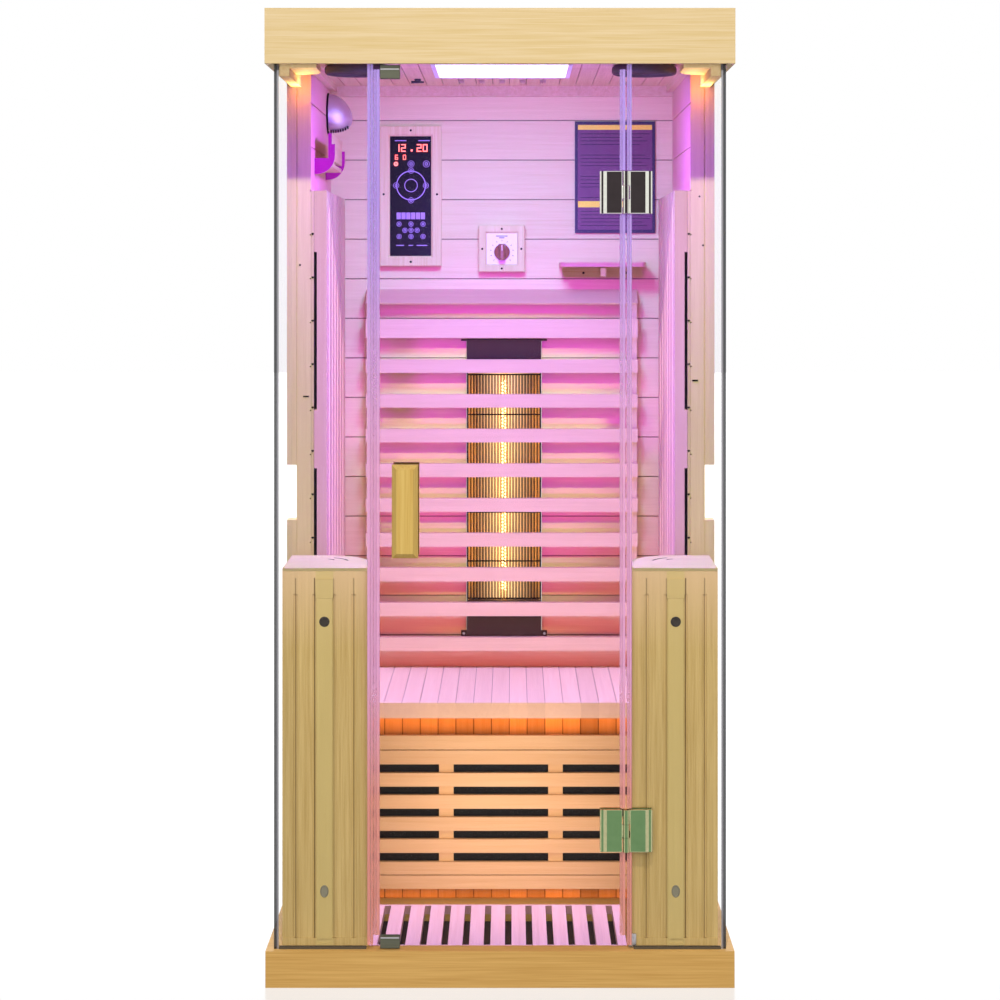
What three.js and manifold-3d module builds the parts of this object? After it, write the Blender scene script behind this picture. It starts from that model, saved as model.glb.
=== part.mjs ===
// A one-person infrared sauna cabin with a glass front, built from its boards, panes, heaters and fittings.
// Millimetres, +Z up, the glass front faces -Y, X = 0 is the middle, Z = 0 is the floor it stands on.
// A depth is always counted backwards from the front face of the roof.
import * as THREE from 'three';
import { mergeVertices } from 'three/addons/utils/BufferGeometryUtils.js';
import Module from 'manifold-3d';

const wasm = await Module();
wasm.setup();

// Overall sizes
const cabinWidth = 900;
const cabinDepth = 900;
const cabinTop = 1873;
const frontY = -cabinDepth / 2;
const fit = 0.3;

// Base and roof
const baseHalfWidth = 448.5;
const baseFrontDepth = 0.5;
const baseTop = 70;
const roofBottom = 1767;
const roofBoardThickness = 14.5;
const ceilingLevel = 1790;
const ceilingThickness = 10;

// Walls
const wallInner = 386;
const wallLayer = 414.5;
const wallOuter = 435;
const wallFrontDepth = 298;
const wallBackDepth = 883;
const backWallDepth = 840;
const backPanelDepth = 868;
const wallBoardPitch = 89.4;
const topWallGroove = 1713.4;
const narrowBoardPitch = 37;
const grooveWidth = 2.5;
const grooveDepth = 2.5;

// Glass
const glassOuterDepth = 17;
const glassInnerDepth = 25;
const sideGlassInner = 424.5;
const sideGlassOuter = 433.5;
const doorEdge = 236;
const doorBottom = 78;
const doorTop = 1760;
const latchPaneEdge = -249;
const hingePaneEdge = 247;

// Hinges and handles
const hingeX = 241.6;
const hingeDepth = 10;
const hingeHeight = 81;
const hingeLevels = { upper: 1521, lower: 298 };
const hingeOuterDepth = 8.5;
const hingeInnerDepth = 33.5;
const handleX = -181;
const handleWidth = 50;
const handleBottom = 823;
const handleTop = 1001;
const handleThickness = 22;
const handleStandOff = 19;
const handlePegLevels = [862, 962];

// Corner heater boxes
const boxInner = 253.5;
const boxOuter = 419.5;
const boxFrontDepth = 37.5;
const boxStraightDepth = 112;
const boxBackDepth = 253;
const boxArcX = 345;
const boxTop = 792;
const boxLidTop = 798;
const boxBoard = 13;

// Bench and backrest
const seatTop = 481;
const seatFrontDepth = 365;
const seatEdgeBottom = 449;
const seatThickness = 22;
const benchPanelDepth = 400;
const benchPanelThickness = 12;
const backrestHalfWidth = 305;
const slatFrontDepth = 797;
const slatThickness = 20;
const slatHeight = 30;
const slatPitch = 77.9;
const topSlatTop = 1174.7;
const slatCount = 9;

// Heater in the back wall
const heaterX = 5;
const heaterPlateHalfWidth = 97;
const heaterPlateBottom = 549;
const heaterPlateTop = 1220;
const heaterHalfWidth = 84;
const heaterBottom = 551;
const heaterTop = 1218;
const heaterCapBottom = 630;
const heaterCapTop = 1146;
const heaterBackDepth = 881;

// Colours of the real materials
const paleWood = '#e3c38c';
const baseWood = '#c79c57';
const boxWood = '#bfa36a';
const blackMetal = '#17151a';

function material(color, roughness, metalness = 0) {
  return new THREE.MeshStandardMaterial({ color, roughness, metalness });
}

function glassMaterial() {
  const glass = material('#dfe8e4', 0.05);
  glass.transparent = true;
  glass.opacity = 0.18;
  return glass;
}

const cabin = new THREE.Group();

function add(name, geometry, look) {
  const piece = new THREE.Mesh(geometry, look);
  piece.name = name;
  cabin.add(piece);
}

// Shapes: boxes, round bars and outlines drawn in plan, from the side and from the front
function slab(x0, x1, d0, d1, z0, z1) {
  const geometry = new THREE.BoxGeometry(Math.abs(x1 - x0), d1 - d0, z1 - z0);
  return geometry.translate((x0 + x1) / 2, frontY + (d0 + d1) / 2, (z0 + z1) / 2);
}

function uprightRod(radius, x, d, z0, z1, sides = 24) {
  const geometry = new THREE.CylinderGeometry(radius, radius, z1 - z0, sides);
  return geometry.rotateX(Math.PI / 2).translate(x, frontY + d, (z0 + z1) / 2);
}

function depthRod(radius, x, z, d0, d1, sides = 24) {
  const geometry = new THREE.CylinderGeometry(radius, radius, d1 - d0, sides);
  return geometry.translate(x, frontY + (d0 + d1) / 2, z);
}

function outline(points) {
  return new THREE.Shape(points.map(([u, v]) => new THREE.Vector2(u, v)));
}

function planPlate(points, z0, z1) {
  const shape = outline(points);
  const geometry = new THREE.ExtrudeGeometry(shape, { depth: z1 - z0, bevelEnabled: false });
  return geometry.translate(0, frontY, z0);
}

function sideProfile(points, x0, x1) {
  const geometry = new THREE.ExtrudeGeometry(outline(points), { depth: x1 - x0, bevelEnabled: false });
  const turn = new THREE.Matrix4().makeBasis(
    new THREE.Vector3(0, 1, 0), new THREE.Vector3(0, 0, 1), new THREE.Vector3(1, 0, 0));
  return geometry.applyMatrix4(turn).translate(x0, frontY, 0);
}

function frontPlate(points, d0, d1) {
  const geometry = new THREE.ExtrudeGeometry(outline(points), { depth: d1 - d0, bevelEnabled: false });
  return geometry.rotateX(Math.PI / 2).translate(0, frontY + d1, 0);
}

// Points of an arc in two dimensions, from one angle to another, both ends included
function arcPoints(cu, cv, radiusU, radiusV, from, to, steps) {
  const points = [];
  for (let i = 0; i <= steps; i += 1) {
    const angle = from + ((to - from) * i) / steps;
    points.push([cu + radiusU * Math.cos(angle), cv + radiusV * Math.sin(angle)]);
  }
  return points;
}

// Joining and cutting of closed shapes
function solid(geometry) {
  const bare = geometry.clone();
  bare.deleteAttribute('normal');
  bare.deleteAttribute('uv');
  const welded = mergeVertices(bare, 1e-4);
  return new wasm.Manifold(new wasm.Mesh({
    numProp: 3,
    vertProperties: new Float32Array(welded.attributes.position.array),
    triVerts: new Uint32Array(welded.index.array),
  }));
}

function geometryOf(body) {
  const { vertProperties, triVerts } = body.getMesh();
  const geometry = new THREE.BufferGeometry();
  geometry.setAttribute('position', new THREE.BufferAttribute(vertProperties, 3));
  geometry.setIndex(new THREE.BufferAttribute(triVerts, 1));
  geometry.computeVertexNormals();
  return geometry;
}

function join(shapes) {
  const [first, ...others] = shapes.map(solid);
  return geometryOf(others.reduce((whole, shape) => whole.add(shape), first));
}

function cut(shape, tools) {
  return geometryOf(tools.map(solid).reduce((whole, tool) => whole.subtract(tool), solid(shape)));
}

// Places of the joints between narrow boards, counted both ways from the middle one
function narrowJoints(halfWidth) {
  const firstJoint = 17.4;
  const lowest = Math.ceil((-halfWidth + 4 - firstJoint) / narrowBoardPitch);
  const highest = Math.floor((halfWidth - 4 - firstJoint) / narrowBoardPitch);
  const places = [];
  for (let k = lowest; k <= highest; k += 1) {
    places.push(firstJoint + k * narrowBoardPitch);
  }
  return places;
}

function wallJoints() {
  const places = [];
  for (let z = topWallGroove; z > baseTop + 20; z -= wallBoardPitch) {
    places.push(z);
  }
  return places;
}

// Base platform with a stepped pocket for the floor heater and its grille
const grilleX = -5;
const grilleHalfWidth = 250;
const grilleFront = 42;
const grilleBack = 345;
const grilleBottom = 52;
const pocketBottom = 29;
const slotFront = 46;
const slotBack = 337;
const floorSlotPitch = 41.1;
const floorSlotWidth = 13;
const floorSlotCount = 12;

const platform = slab(-baseHalfWidth, baseHalfWidth, baseFrontDepth, cabinDepth - baseFrontDepth, 0, baseTop);
const grilleSeat = slab(grilleX - grilleHalfWidth, grilleX + grilleHalfWidth,
  grilleFront, grilleBack, grilleBottom, baseTop + 1);
const heaterPocket = slab(grilleX - grilleHalfWidth + 10, grilleX + grilleHalfWidth - 10,
  slotFront, slotBack, pocketBottom, baseTop);
add('base_platform', cut(platform, [grilleSeat, heaterPocket]), material(baseWood, 0.55));

const floorSlots = [];
for (let i = 0; i < floorSlotCount; i += 1) {
  const x = grilleX + (i - (floorSlotCount - 1) / 2) * floorSlotPitch;
  floorSlots.push(slab(x - floorSlotWidth / 2, x + floorSlotWidth / 2,
    slotFront, slotBack, grilleBottom - 1, baseTop + 1));
}
const grilleBoard = slab(grilleX - grilleHalfWidth + fit, grilleX + grilleHalfWidth - fit,
  grilleFront + fit, grilleBack - fit, grilleBottom + fit, baseTop);
add('floor_grille', cut(grilleBoard, floorSlots), material(paleWood, 0.55));
add('floor_heater', slab(grilleX - 235, grilleX + 235, slotFront + 4, slotBack - 4,
  pocketBottom + fit, pocketBottom + 10), material(blackMetal, 0.6));

// Side walls: a boarded inner panel with a proud frame outside, its front stile open for a grip
function sideWall(side) {
  const top = ceilingLevel - fit;
  const bottom = baseTop + fit;
  const panel = slab(side * wallInner, side * (wallLayer + 1), wallFrontDepth, wallBackDepth, bottom, top);
  const layer = (d0, d1, z0, z1) => slab(side * wallLayer, side * wallOuter, d0, d1, z0, z1);
  const frame = [
    layer(wallFrontDepth, 343, bottom, top),
    layer(838, wallBackDepth, bottom, top),
    layer(wallFrontDepth, wallBackDepth, bottom, 140),
    layer(wallFrontDepth, wallBackDepth, 1680, top),
  ];
  const grip = slab(side * (wallLayer + 1), side * (wallOuter + 1), wallFrontDepth - 1, 344, 865, 977);
  const seam = slab(side * (wallLayer - 1), side * (wallLayer + 1),
    wallFrontDepth - 1, wallFrontDepth + 3, bottom - 1, top + 1);
  const grooves = wallJoints().map((z) => slab(side * (wallInner - 1), side * (wallInner + grooveDepth),
    wallFrontDepth - 1, backWallDepth, z - grooveWidth / 2, z + grooveWidth / 2));
  return cut(join([panel, ...frame]), [grip, seam, ...grooves]);
}
add('left_wall', sideWall(-1), material(paleWood, 0.55));
add('right_wall', sideWall(1), material(paleWood, 0.55));

// Back wall: boarded panel between the side walls, a frame behind it and a window for the heater
const backHalfWidth = wallInner - fit;
const backPanel = slab(-backHalfWidth, backHalfWidth, backWallDepth, backPanelDepth + 1,
  baseTop + fit, ceilingLevel - fit);
const backLayer = (x0, x1, z0, z1) => slab(x0, x1, backPanelDepth, wallBackDepth, z0, z1);
const backFrame = [
  backLayer(-backHalfWidth, -backHalfWidth + 50, baseTop + fit, ceilingLevel - fit),
  backLayer(backHalfWidth - 50, backHalfWidth, baseTop + fit, ceilingLevel - fit),
  backLayer(-backHalfWidth, backHalfWidth, baseTop + fit, 140),
  backLayer(-backHalfWidth, backHalfWidth, 1680, ceilingLevel - fit),
];
const heaterWindow = slab(heaterX - heaterHalfWidth - 1, heaterX + heaterHalfWidth + 1,
  backWallDepth - 1, backPanelDepth + 2, heaterBottom - 1, heaterTop + 1);
const backGrooves = wallJoints().map((z) => slab(-backHalfWidth - 1, backHalfWidth + 1,
  backWallDepth - 1, backWallDepth + grooveDepth, z - grooveWidth / 2, z + grooveWidth / 2));
add('back_wall', cut(join([backPanel, ...backFrame]), [heaterWindow, ...backGrooves]),
  material(paleWood, 0.55));

// Roof: four fascia boards, a boarded ceiling with air slots and a cornice, a top cover, and the control unit
const roofHalf = cabinWidth / 2;
const roofInside = roofHalf - roofBoardThickness - fit;
const roofBackInside = cabinDepth - roofBoardThickness;
add('roof_front_board', slab(-roofHalf, roofHalf, 0, roofBoardThickness, roofBottom, cabinTop),
  material(paleWood, 0.5));
add('roof_back_board', slab(-roofHalf, roofHalf, roofBackInside, cabinDepth, roofBottom, cabinTop),
  material(paleWood, 0.5));
for (const [name, side] of [['roof_left_board', -1], ['roof_right_board', 1]]) {
  add(name, slab(side * (roofHalf - roofBoardThickness), side * roofHalf,
    roofBoardThickness + fit, roofBackInside - fit, roofBottom, cabinTop), material(paleWood, 0.5));
}

const corniceFront = 825;
const corniceInner = 371;
const ventFront = 652;
const ventBack = 750;
const ventWidth = 13;
const ventPitch = 45;
const vents = [];
for (let i = -2; i <= 2; i += 1) {
  const x = 1 + i * ventPitch;
  vents.push(slab(x - ventWidth / 2, x + ventWidth / 2, ventFront, ventBack,
    ceilingLevel - 1, ceilingLevel + ceilingThickness + 1));
}
const ceilingBoard = slab(-roofInside, roofInside, roofBoardThickness + fit, roofBackInside - fit,
  ceilingLevel, ceilingLevel + ceilingThickness);
const ceilingGrooves = narrowJoints(corniceInner).map((x) => slab(x - grooveWidth / 2, x + grooveWidth / 2,
  roofBoardThickness, corniceFront - 1, ceilingLevel - 1, ceilingLevel + grooveDepth));
const corniceBack = slab(-wallInner + fit, wallInner - fit, corniceFront, backWallDepth - fit,
  roofBottom, ceilingLevel + 1);
const corniceSide = (side) => slab(side * (wallInner - fit), side * corniceInner,
  wallFrontDepth, backWallDepth - fit, ceilingLevel - 14, ceilingLevel + 1);
const ceiling = cut(ceilingBoard, [...vents, ...ceilingGrooves]);
add('ceiling_panel', join([ceiling, corniceBack, corniceSide(-1), corniceSide(1)]), material(paleWood, 0.55));
add('roof_cover', slab(-roofInside, roofInside, roofBoardThickness + fit, roofBackInside - fit, 1855, 1864),
  material(paleWood, 0.6));
add('control_unit', slab(-150, 150, 420, 620, ceilingLevel + ceilingThickness + fit, 1852),
  material('#8d9196', 0.5, 0.6));

// Rails above the side panes, each with a round-ended plate that shades the corner lamp
function topRail(side) {
  const rail = slab(side * (sideGlassInner - fit), side * 405, 26, wallFrontDepth - fit,
    1745, ceilingLevel - fit);
  const inner = 353;
  const plateBack = 188;
  const corner = 55;
  const round = arcPoints(inner + corner, plateBack - corner, corner, corner, Math.PI, Math.PI / 2, 10);
  const plan = [[sideGlassInner - fit, 26], [inner, 26], ...round, [sideGlassInner - fit, plateBack]];
  const plate = planPlate(plan.map(([x, d]) => [side * x, d]), 1761, 1775);
  return join([rail, plate]);
}
add('left_top_rail', topRail(-1), material(paleWood, 0.5));
add('right_top_rail', topRail(1), material(paleWood, 0.5));

// Ceiling lamp with a sunken diffuser, and two round loudspeakers
const lampX = 3;
const lampHalfWidth = 139;
const lampFront = 79;
const lampBack = 399;
const lampBottom = 1772;
const lampRim = 9;
const lampBody = slab(lampX - lampHalfWidth, lampX + lampHalfWidth, lampFront, lampBack,
  lampBottom, ceilingLevel - fit);
const lampRecess = slab(lampX - lampHalfWidth + lampRim, lampX + lampHalfWidth - lampRim,
  lampFront + lampRim, lampBack - lampRim, lampBottom - 1, lampBottom + 5);
add('ceiling_lamp_frame', cut(lampBody, [lampRecess]), material('#e8e8ea', 0.4));
const diffuser = material('#ffffff', 0.3);
diffuser.emissive = new THREE.Color('#fdfafc');
add('ceiling_lamp_diffuser', slab(
  lampX - lampHalfWidth + lampRim + fit, lampX + lampHalfWidth - lampRim - fit,
  lampFront + lampRim + fit, lampBack - lampRim - fit, lampBottom + 1.5, lampBottom + 5 - fit), diffuser);

const speakerX = 292;
const speakerDepth = 297;
const speakerRadius = 66;
const speakerDrop = 20;
const speakerSection = [[0, 0], [58, 0], [speakerRadius, 5], [speakerRadius, 14], [60, speakerDrop],
  [54, 13], [19, 8], [13, 15], [0, 16]];
for (const [name, side] of [['left_speaker', -1], ['right_speaker', 1]]) {
  const section = speakerSection.map(([r, h]) => new THREE.Vector2(r, h));
  const speaker = new THREE.LatheGeometry(section, 28).rotateX(-Math.PI / 2);
  speaker.translate(side * speakerX, frontY + speakerDepth, ceilingLevel - fit);
  add(name, speaker, material('#241f24', 0.6));
}

// Fixed panes: two sides and two beside the door, the hinge pane notched for the hinges
for (const [name, side] of [['left_side_glass', -1], ['right_side_glass', 1]]) {
  add(name, slab(side * sideGlassInner, side * sideGlassOuter, glassOuterDepth, wallFrontDepth - fit,
    baseTop + fit, ceilingLevel - fit), glassMaterial());
}
const notchReach = 24;
const notchHalfHeight = 19;
function hingeNotches(edge, direction) {
  return Object.values(hingeLevels).map((z) => slab(edge - direction, edge + direction * notchReach,
    glassOuterDepth - 1, glassInnerDepth + 1, z - notchHalfHeight, z + notchHalfHeight));
}
const paneBottom = baseTop + fit;
const paneTop = ceilingLevel - fit;
add('left_front_glass', slab(-sideGlassInner + fit, latchPaneEdge, glassOuterDepth, glassInnerDepth,
  paneBottom, paneTop), glassMaterial());
add('right_front_glass', cut(slab(hingePaneEdge, sideGlassInner - fit, glassOuterDepth, glassInnerDepth,
  paneBottom, paneTop), hingeNotches(hingePaneEdge, 1)), glassMaterial());

// Door pane with notches for the hinges and holes for the handle pegs
const pegHoles = handlePegLevels.map((z) => depthRod(6, handleX, z,
  glassOuterDepth - 1, glassInnerDepth + 1));
add('door_glass', cut(slab(-doorEdge, doorEdge, glassOuterDepth, glassInnerDepth, doorBottom, doorTop),
  [...hingeNotches(doorEdge, -1), ...pegHoles]), glassMaterial());

// Clear channel pushed on the closing edge of the door, between the two catch plates
const sealTop = doorTop - 2;
const sealBottom = doorBottom + 2;
const sealBody = slab(-doorEdge - 7, -doorEdge + 5, glassOuterDepth - 1.6, glassInnerDepth + 1.6,
  sealBottom, sealTop);
const sealSlot = slab(-doorEdge - fit, -doorEdge + 6, glassOuterDepth - fit, glassInnerDepth + fit,
  sealBottom - 1, sealTop + 1);
const clear = material('#e6e2e6', 0.25);
clear.transparent = true;
clear.opacity = 0.5;
add('door_edge_seal', cut(sealBody, [sealSlot]), clear);

// Clamp hinges: plates on both faces joined through the notch, the pane leaf carrying the pin
const leafReach = 50;
const leafGap = 7.6;
const knuckleRadius = 6.2;
const pinRadius = 2.6;
const middleKnuckle = 12.5;
function hingeLeaf(level, direction) {
  const near = hingeX + direction * leafGap;
  const far = hingeX + direction * leafReach;
  const half = hingeHeight / 2;
  const edge = 3;
  const face = [[near, -half], [far - direction * edge, -half], [far, -half + edge],
    [far, half - edge], [far - direction * edge, half], [near, half]].map(([x, z]) => [x, level + z]);
  const outerPlate = frontPlate(face, hingeOuterDepth, glassOuterDepth - fit);
  const innerPlate = frontPlate(face, glassInnerDepth + fit, hingeInnerDepth);
  const bridge = slab(near, near + direction * 16, glassOuterDepth - 1, glassInnerDepth + 1,
    level - notchHalfHeight + 1, level + notchHalfHeight - 1);
  return [outerPlate, innerPlate, bridge];
}
function knuckle(level, z0, z1, direction) {
  const barrel = uprightRod(knuckleRadius, hingeX, hingeDepth, level + z0, level + z1);
  const arm = slab(hingeX, hingeX + direction * (leafGap + 4), hingeOuterDepth, hingeDepth + 4,
    level + z0, level + z1);
  return [barrel, arm];
}
const chrome = () => material('#c9cdcf', 0.12, 1);
for (const [place, level] of Object.entries(hingeLevels)) {
  const half = hingeHeight / 2;
  const bore = uprightRod(pinRadius + fit, hingeX, hingeDepth, level - half - 1, level + half + 1);
  const doorLeaf = [...hingeLeaf(level, -1), ...knuckle(level, -middleKnuckle, middleKnuckle, -1)];
  add(`${place}_hinge_door_leaf`, cut(join(doorLeaf), [bore]), chrome());
  const paneLeaf = [...hingeLeaf(level, 1), ...knuckle(level, middleKnuckle + fit, half, 1),
    ...knuckle(level, -half, -middleKnuckle - fit, 1),
    uprightRod(pinRadius, hingeX, hingeDepth, level - half, level + half)];
  add(`${place}_hinge_pane_leaf`, join(paneLeaf), chrome());
}

// Handles: chamfered wooden bars on pegs, the outer pegs passing through the pane
function handleBar(d0, d1, chamferFront) {
  const chamfer = 9;
  const half = handleWidth / 2;
  const plain = chamferFront ? d1 : d0;
  const shaped = chamferFront ? d0 : d1;
  const step = chamferFront ? chamfer : -chamfer;
  const section = [[handleX - half, plain], [handleX + half, plain], [handleX + half, shaped + step],
    [handleX + half - chamfer, shaped], [handleX - half + chamfer, shaped], [handleX - half, shaped + step]];
  const bar = planPlate(section, handleBottom, handleTop);
  const endCut = (z, rise) => sideProfile([[shaped, z], [shaped + step, z], [shaped, z + rise]],
    handleX - half - 1, handleX + half + 1);
  return cut(bar, [endCut(handleBottom, chamfer), endCut(handleTop, -chamfer)]);
}
const outerBarBack = glassOuterDepth - handleStandOff;
const innerBarFront = glassInnerDepth + handleStandOff;
const outerPegs = handlePegLevels.flatMap((z) => [
  depthRod(9, handleX, z, outerBarBack - 3, glassOuterDepth - fit),
  depthRod(5.5, handleX, z, outerBarBack, glassInnerDepth),
]);
const innerPegs = handlePegLevels.map((z) => depthRod(9, handleX, z,
  glassInnerDepth + fit, innerBarFront + 3));
add('outer_handle', join([handleBar(outerBarBack - handleThickness, outerBarBack, true), ...outerPegs]),
  material('#d9b566', 0.45));
add('inner_handle', join([handleBar(innerBarFront, innerBarFront + handleThickness, false), ...innerPegs]),
  material('#d9b566', 0.45));

// Magnet catches: clips round the top and bottom edge of the door
function catchClip(z0, z1, slotBottom, slotTop) {
  const body = slab(-230, -192, glassOuterDepth - 5, glassInnerDepth + 5, z0, z1);
  const slot = slab(-231, -191, glassOuterDepth - fit, glassInnerDepth + fit, slotBottom, slotTop);
  return cut(body, [slot]);
}
add('top_catch', catchClip(1739, 1765, 1738, doorTop + fit), material('#6f766c', 0.35, 0.8));
add('bottom_catch', catchClip(72, 95, doorBottom - fit, 96), material('#6f766c', 0.35, 0.8));

// Corner heater boxes: fluted front board, side boards, an arc of slats facing the seat, a lid and a heater
const fluteWidth = 8;
const fluteTop = 748;
const boxRailTop = 86;
const boxRailProud = 2;
const flutePlaces = [282, 319.5, 357, 394];
const stripHalfWidth = 15;
function boxArc(inset, from, to, steps) {
  const radiusX = boxArcX - boxInner - inset;
  const radiusDepth = boxBackDepth - boxStraightDepth - inset;
  return arcPoints(boxArcX, boxStraightDepth, -radiusX, radiusDepth, from, to, steps);
}
function boxPlan(side) {
  const plan = [[boxOuter, boxFrontDepth], [boxInner, boxFrontDepth],
    ...boxArc(0, 0, Math.PI / 2, 14), [boxOuter, boxBackDepth]];
  return plan.map(([x, d]) => [side * x, d]);
}
function heaterBox(side) {
  const bottom = baseTop + fit;
  const floorTop = bottom + 14;
  const front = slab(side * boxInner, side * boxOuter,
    boxFrontDepth, boxFrontDepth + boxBoard, bottom, boxTop);
  const flutes = flutePlaces.map((x) => slab(side * (x - fluteWidth / 2), side * (x + fluteWidth / 2),
    boxFrontDepth - 1, boxFrontDepth + 4, boxRailTop, fluteTop));
  const rail = slab(side * boxInner, side * boxOuter, boxFrontDepth - boxRailProud, boxFrontDepth + 1,
    bottom, boxRailTop);
  const stripX = side * (flutePlaces[1] + flutePlaces[2]) / 2;
  const strip = slab(stripX - stripHalfWidth, stripX + stripHalfWidth, boxFrontDepth - 3, boxFrontDepth + 1,
    boxRailTop - 1, fluteTop - 8);
  const stripHole = depthRod(9, stripX, 695, boxFrontDepth - 4, boxFrontDepth + 9, 24);
  const railNotch = slab(stripX - stripHalfWidth, stripX + stripHalfWidth,
    boxFrontDepth - 4, boxFrontDepth + 5, 76, boxRailTop - 2);
  const board = cut(join([cut(front, flutes), rail, strip]), [stripHole, railNotch]);
  const floor = planPlate(boxPlan(side), bottom, floorTop);
  const outerSide = slab(side * (boxOuter - boxBoard), side * boxOuter, boxFrontDepth + 5, boxBackDepth,
    bottom, boxTop);
  const innerSide = slab(side * boxInner, side * (boxInner + boxBoard), boxFrontDepth + 5, boxStraightDepth,
    bottom, boxTop);
  const backSide = slab(side * boxArcX, side * boxOuter,
    boxBackDepth - boxBoard, boxBackDepth, bottom, boxTop);
  const slats = [];
  const count = 6;
  for (let i = 0; i < count; i += 1) {
    const [[x, d], [nextX, nextD]] = boxArc(boxBoard / 2 + 1,
      ((i + 0.5) * Math.PI) / 2 / count, ((i + 0.55) * Math.PI) / 2 / count, 1);
    const slat = new THREE.BoxGeometry(17, boxBoard - 2, boxTop - bottom);
    slat.rotateZ(Math.atan2(nextD - d, side * (nextX - x)));
    slats.push(slat.translate(side * x, frontY + d, (boxTop + bottom) / 2));
  }
  return join([board, floor, outerSide, innerSide, backSide, ...slats]);
}
function boxLid(side) {
  const lid = planPlate(boxPlan(side), boxTop + fit, boxLidTop);
  const slotAt = (inset, from, to) => {
    const near = boxArc(inset, from, to, 8);
    const far = boxArc(inset + 5, to, from, 8);
    return planPlate([...near, ...far].map(([x, d]) => [side * x, d]), boxTop - 1, boxLidTop + 1);
  };
  return cut(lid, [slotAt(38, 0.55, 1.35), slotAt(62, 0.95, 1.5)]);
}
function boxHeater(side) {
  const near = boxArc(26, 0.12, Math.PI / 2 - 0.1, 10);
  const far = boxArc(33, Math.PI / 2 - 0.1, 0.12, 10);
  return planPlate([...near, ...far].map(([x, d]) => [side * x, d]), baseTop + fit + 14 + fit, 740);
}
for (const [name, side] of [['left', -1], ['right', 1]]) {
  add(`${name}_heater_box`, heaterBox(side), material(boxWood, 0.55));
  add(`${name}_heater_box_lid`, boxLid(side), material(paleWood, 0.5));
  add(`${name}_heater_box_panel`, boxHeater(side), material(blackMetal, 0.6));
}

// Side wall heaters: a thin black panel on the wall behind upright slats on three rails
const guardBottom = 500;
const guardTop = 1535;
const guardBack = 838;
const guardFace = 354;
const guardSlatBack = 374;
const heaterFace = 380;
const guardSlatCount = 7;
const guardSlatGap = 15;
const guardRails = [[500, 600], [970, 1088], [1410, 1535]];
function sideGuard(side) {
  const width = (guardBack - wallFrontDepth + guardSlatGap) / guardSlatCount;
  const boards = [];
  for (let i = 0; i < guardSlatCount; i += 1) {
    const d0 = wallFrontDepth + i * width;
    boards.push(slab(side * guardFace, side * guardSlatBack, d0, d0 + width - guardSlatGap,
      guardBottom, guardTop));
  }
  const rails = guardRails.map(([z0, z1]) => slab(side * (guardSlatBack - 2), side * (heaterFace - fit),
    wallFrontDepth, guardBack, z0, z1));
  return join([...rails, ...boards]);
}
for (const [name, side] of [['left', -1], ['right', 1]]) {
  add(`${name}_side_guard`, sideGuard(side), material(paleWood, 0.55));
  add(`${name}_side_heater`, slab(side * heaterFace, side * (wallInner - fit),
    wallFrontDepth + 2, guardBack, guardBottom, guardTop), material(blackMetal, 0.6));
}

// Bench: boarded seat with an edge board and bearers, an upright panel, and the leg heater with its grille
const seatHalfWidth = wallInner - fit;
const seatBoards = slab(-seatHalfWidth, seatHalfWidth, seatFrontDepth + 5, backWallDepth - fit,
  seatTop - seatThickness, seatTop);
const seatEdge = slab(-seatHalfWidth, seatHalfWidth, seatFrontDepth, seatFrontDepth + 22,
  seatEdgeBottom, seatTop);
const seatGrooves = narrowJoints(seatHalfWidth).map((x) => slab(x - grooveWidth / 2, x + grooveWidth / 2,
  seatFrontDepth + 22, backWallDepth, seatTop - grooveDepth, seatTop + 1));
const bearerBack = backWallDepth - fit;
const bearerFront = benchPanelDepth + benchPanelThickness + fit;
const bearer = (x0, x1, d0) => slab(x0, x1, d0, bearerBack, 415, seatTop - seatThickness + 1);
const bearers = [
  bearer(-seatHalfWidth, seatHalfWidth, 814),
  bearer(-seatHalfWidth, -seatHalfWidth + 26, bearerFront),
  bearer(seatHalfWidth - 26, seatHalfWidth, bearerFront),
];
add('bench_seat', cut(join([seatBoards, seatEdge, ...bearers]), seatGrooves), material(paleWood, 0.5));

const benchPanel = slab(-seatHalfWidth, seatHalfWidth, benchPanelDepth, benchPanelDepth + benchPanelThickness,
  baseTop + fit, seatTop - seatThickness - fit);
const benchGrooves = narrowJoints(seatHalfWidth).map((x) => slab(x - grooveWidth / 2, x + grooveWidth / 2,
  benchPanelDepth - 1, benchPanelDepth + grooveDepth, baseTop, seatTop));
add('bench_panel', cut(benchPanel, benchGrooves), material(paleWood, 0.55));

const kickFront = 373;
const kickBoardBack = 385;
const kickHalfWidth = 378;
const kickBottom = 95;
const kickTop = 411.8;
const kickBoards = [[kickBottom, 122.7], [124.7, 150.5], [352.4, 381], [383, kickTop]];
const openBoardBottom = 169.5;
const openBoardHeight = 27.8;
const openBoardPitch = 45.6;
for (let i = 0; i < 4; i += 1) {
  const bottom = openBoardBottom + i * openBoardPitch;
  kickBoards.push([bottom, bottom + openBoardHeight]);
}
const kickBattens = [[-128, -98], [98, 128]];
const kickEnds = [[-kickHalfWidth, -kickHalfWidth + 30], [kickHalfWidth - 30, kickHalfWidth]];
add('kick_grille', join([
  ...kickEnds.map(([x0, x1]) => slab(x0, x1, kickBoardBack - 1, benchPanelDepth - fit, kickBottom, kickTop)),
  ...kickBoards.map(([z0, z1]) => slab(-kickHalfWidth, kickHalfWidth, kickFront, kickBoardBack, z0, z1)),
  ...kickBattens.map(([x0, x1]) => slab(x0, x1, kickBoardBack - 1, 391.5, kickBottom, kickTop)),
]), material(paleWood, 0.55));
add('leg_heater', slab(-345, 345, 392, benchPanelDepth - fit, 105, 365), material(blackMetal, 0.6));

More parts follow.
